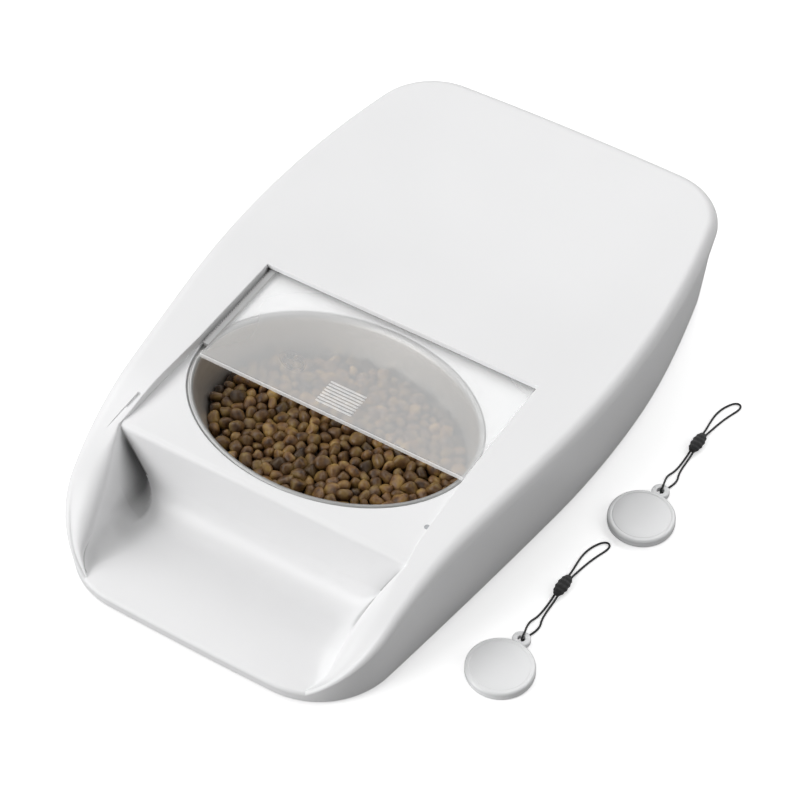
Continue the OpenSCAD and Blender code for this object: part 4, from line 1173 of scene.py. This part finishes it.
def turned(bm, x, y, section, closed=True, count=96):
    """A form turned about an upright line through (x, y); the section is radius and height."""
    section = section + section[:1] if closed else section
    rings = add_grid(bm, [ellipse(r, r, z, count, (x, y)) for r, z in section], closed=True)
    if not closed:
        bm.faces.new(rings[0])
        bm.faces.new(rings[-1])


def tag_half(x, y, z_face, z_lug):
    """Half a tag: rounded edge, a fine groove inside its rim, a flat face and the lug for the cord."""
    up = 1 if z_face > TAG_SEAM else -1
    bm = bmesh.new()
    disc = [(TAG_R - 0.14, TAG_SEAM), (TAG_R, TAG_SEAM + 0.14 * up)]
    disc += [(TAG_R - 1.1 * (1 - math.cos(a)), z_face - 1.1 * up * (1 - math.sin(a)))
             for a in (math.pi / 2 * k / 6 for k in range(7))]
    disc += [(13.7, z_face), (13.55, z_face - 0.1 * up), (13.3, z_face - 0.2 * up),
             (13.05, z_face - 0.1 * up), (12.9, z_face - 0.02 * up), (9, z_face), (5, z_face), (1.5, z_face)]
    turned(bm, x, y, disc, closed=False)
    lug = [(1.7, TAG_SEAM), (1.7, z_lug - 0.35 * up), (1.8, z_lug - 0.1 * up), (2.05, z_lug),
           (3.5, z_lug), (3.9, z_lug - 0.1 * up), (4.13, z_lug - 0.32 * up), (4.2, z_lug - 0.6 * up),
           (4.2, TAG_SEAM)]
    turned(bm, x, y + LUG_Y, lug, count=48)
    weld(bm, 0.001)
    bmesh.ops.recalc_face_normals(bm, faces=bm.faces)
    return bm


for tag, (tag_x, tag_y) in TAGS.items():
    for side, z_face, z_lug in TAG_HALVES:
        form = tag_half(tag_x, tag_y, z_face, z_lug)
        half = make_piece(tag + "_shell_" + side, form, tag, "tag_shell", angle=50)
        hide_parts(tag + "_" + side)


# Finish of the other nodes
for item in frame["record"]["subparts"]:
    obj = nodes[item["node"]]
    obj.data.materials.clear()
    obj.data.materials.append(MATS[item["material_slot"]])


# Floor and light
FLOOR_REACH, ROOM_WHITE = 6000, 0.97
FLOOR_BOUNCE, FLOOR_GLOW, WORLD_LIGHT = 0.5, 0.5, 0.12
LAMP_FAR, LAMP_SIZE = 2.4, 1.3
LAMPS = (("front", 30, 25, 33), ("high", 35, 50, 6), ("left", 100, 50, 19),
         ("back", 180, 45, 18), ("rear_right", 240, 35, 12))


def floor_material():
    """Pale floor. Light that it throws back on the object is held down, as a larger room would."""
    mat = plastic("studio_floor", (ROOM_WHITE, ROOM_WHITE, ROOM_WHITE), 0.95)
    tree = mat.node_tree
    main = tree.nodes["Principled BSDF"]
    path = tree.nodes.new("ShaderNodeLightPath")
    mix = tree.nodes.new("ShaderNodeMix")
    mix.data_type = "RGBA"
    mix.inputs["A"].default_value = (FLOOR_BOUNCE, FLOOR_BOUNCE, FLOOR_BOUNCE, 1)
    mix.inputs["B"].default_value = (ROOM_WHITE, ROOM_WHITE, ROOM_WHITE, 1)
    tree.links.new(path.outputs["Is Camera Ray"], mix.inputs["Factor"])
    tree.links.new(mix.outputs["Result"], main.inputs["Base Color"])
    glow = tree.nodes.new("ShaderNodeMath")
    glow.operation = "MULTIPLY"
    glow.inputs[1].default_value = FLOOR_GLOW
    tree.links.new(path.outputs["Is Camera Ray"], glow.inputs[0])
    main.inputs["Emission Color"].default_value = (1, 1, 1, 1)
    tree.links.new(glow.outputs["Value"], main.inputs["Emission Strength"])
    return mat


def make_stage():
    bm = bmesh.new()
    far = FLOOR_REACH * MM
    add_grid(bm, [[(-far, -far, 0), (far, -far, 0)], [(-far, far, 0), (far, far, 0)]])
    mesh = bpy.data.meshes.new("studio_floor")
    bm.to_mesh(mesh)
    bm.free()
    mesh.materials.append(floor_material())
    floor = bpy.data.objects.new("studio_floor", mesh)
    scene.collection.objects.link(floor)


def area_light(name, turn, rise, power):
    """A soft box that looks at the object, turned from the front and raised by angles in degrees."""
    turn, rise = math.radians(turn), math.radians(rise)
    way = Vector((-math.sin(turn) * math.cos(rise), -math.cos(turn) * math.cos(rise), math.sin(rise)))
    data = bpy.data.lights.new(name, "AREA")
    data.shape = "RECTANGLE"
    data.size = data.size_y = LAMP_SIZE
    data.energy = power
    lamp = bpy.data.objects.new(name, data)
    lamp.location = way * LAMP_FAR
    lamp.rotation_euler = (-way).to_track_quat("-Z", "Y").to_euler()
    scene.collection.objects.link(lamp)


def make_world():
    """A weak even light from all round, behind which the camera sees a white room."""
    world = bpy.data.worlds.new("studio")
    world.use_nodes = True
    tree = world.node_tree
    room = tree.nodes["Background"]
    room.inputs["Color"].default_value = (1, 1, 1, 1)
    path = tree.nodes.new("ShaderNodeLightPath")
    level = tree.nodes.new("ShaderNodeMapRange")
    level.inputs["To Min"].default_value = WORLD_LIGHT
    level.inputs["To Max"].default_value = ROOM_WHITE
    tree.links.new(path.outputs["Is Camera Ray"], level.inputs["Value"])
    tree.links.new(level.outputs["Result"], room.inputs["Strength"])
    scene.world = world


make_stage()
make_world()
for lamp in LAMPS:
    area_light(*lamp)
scene.view_settings.view_transform = "Standard"
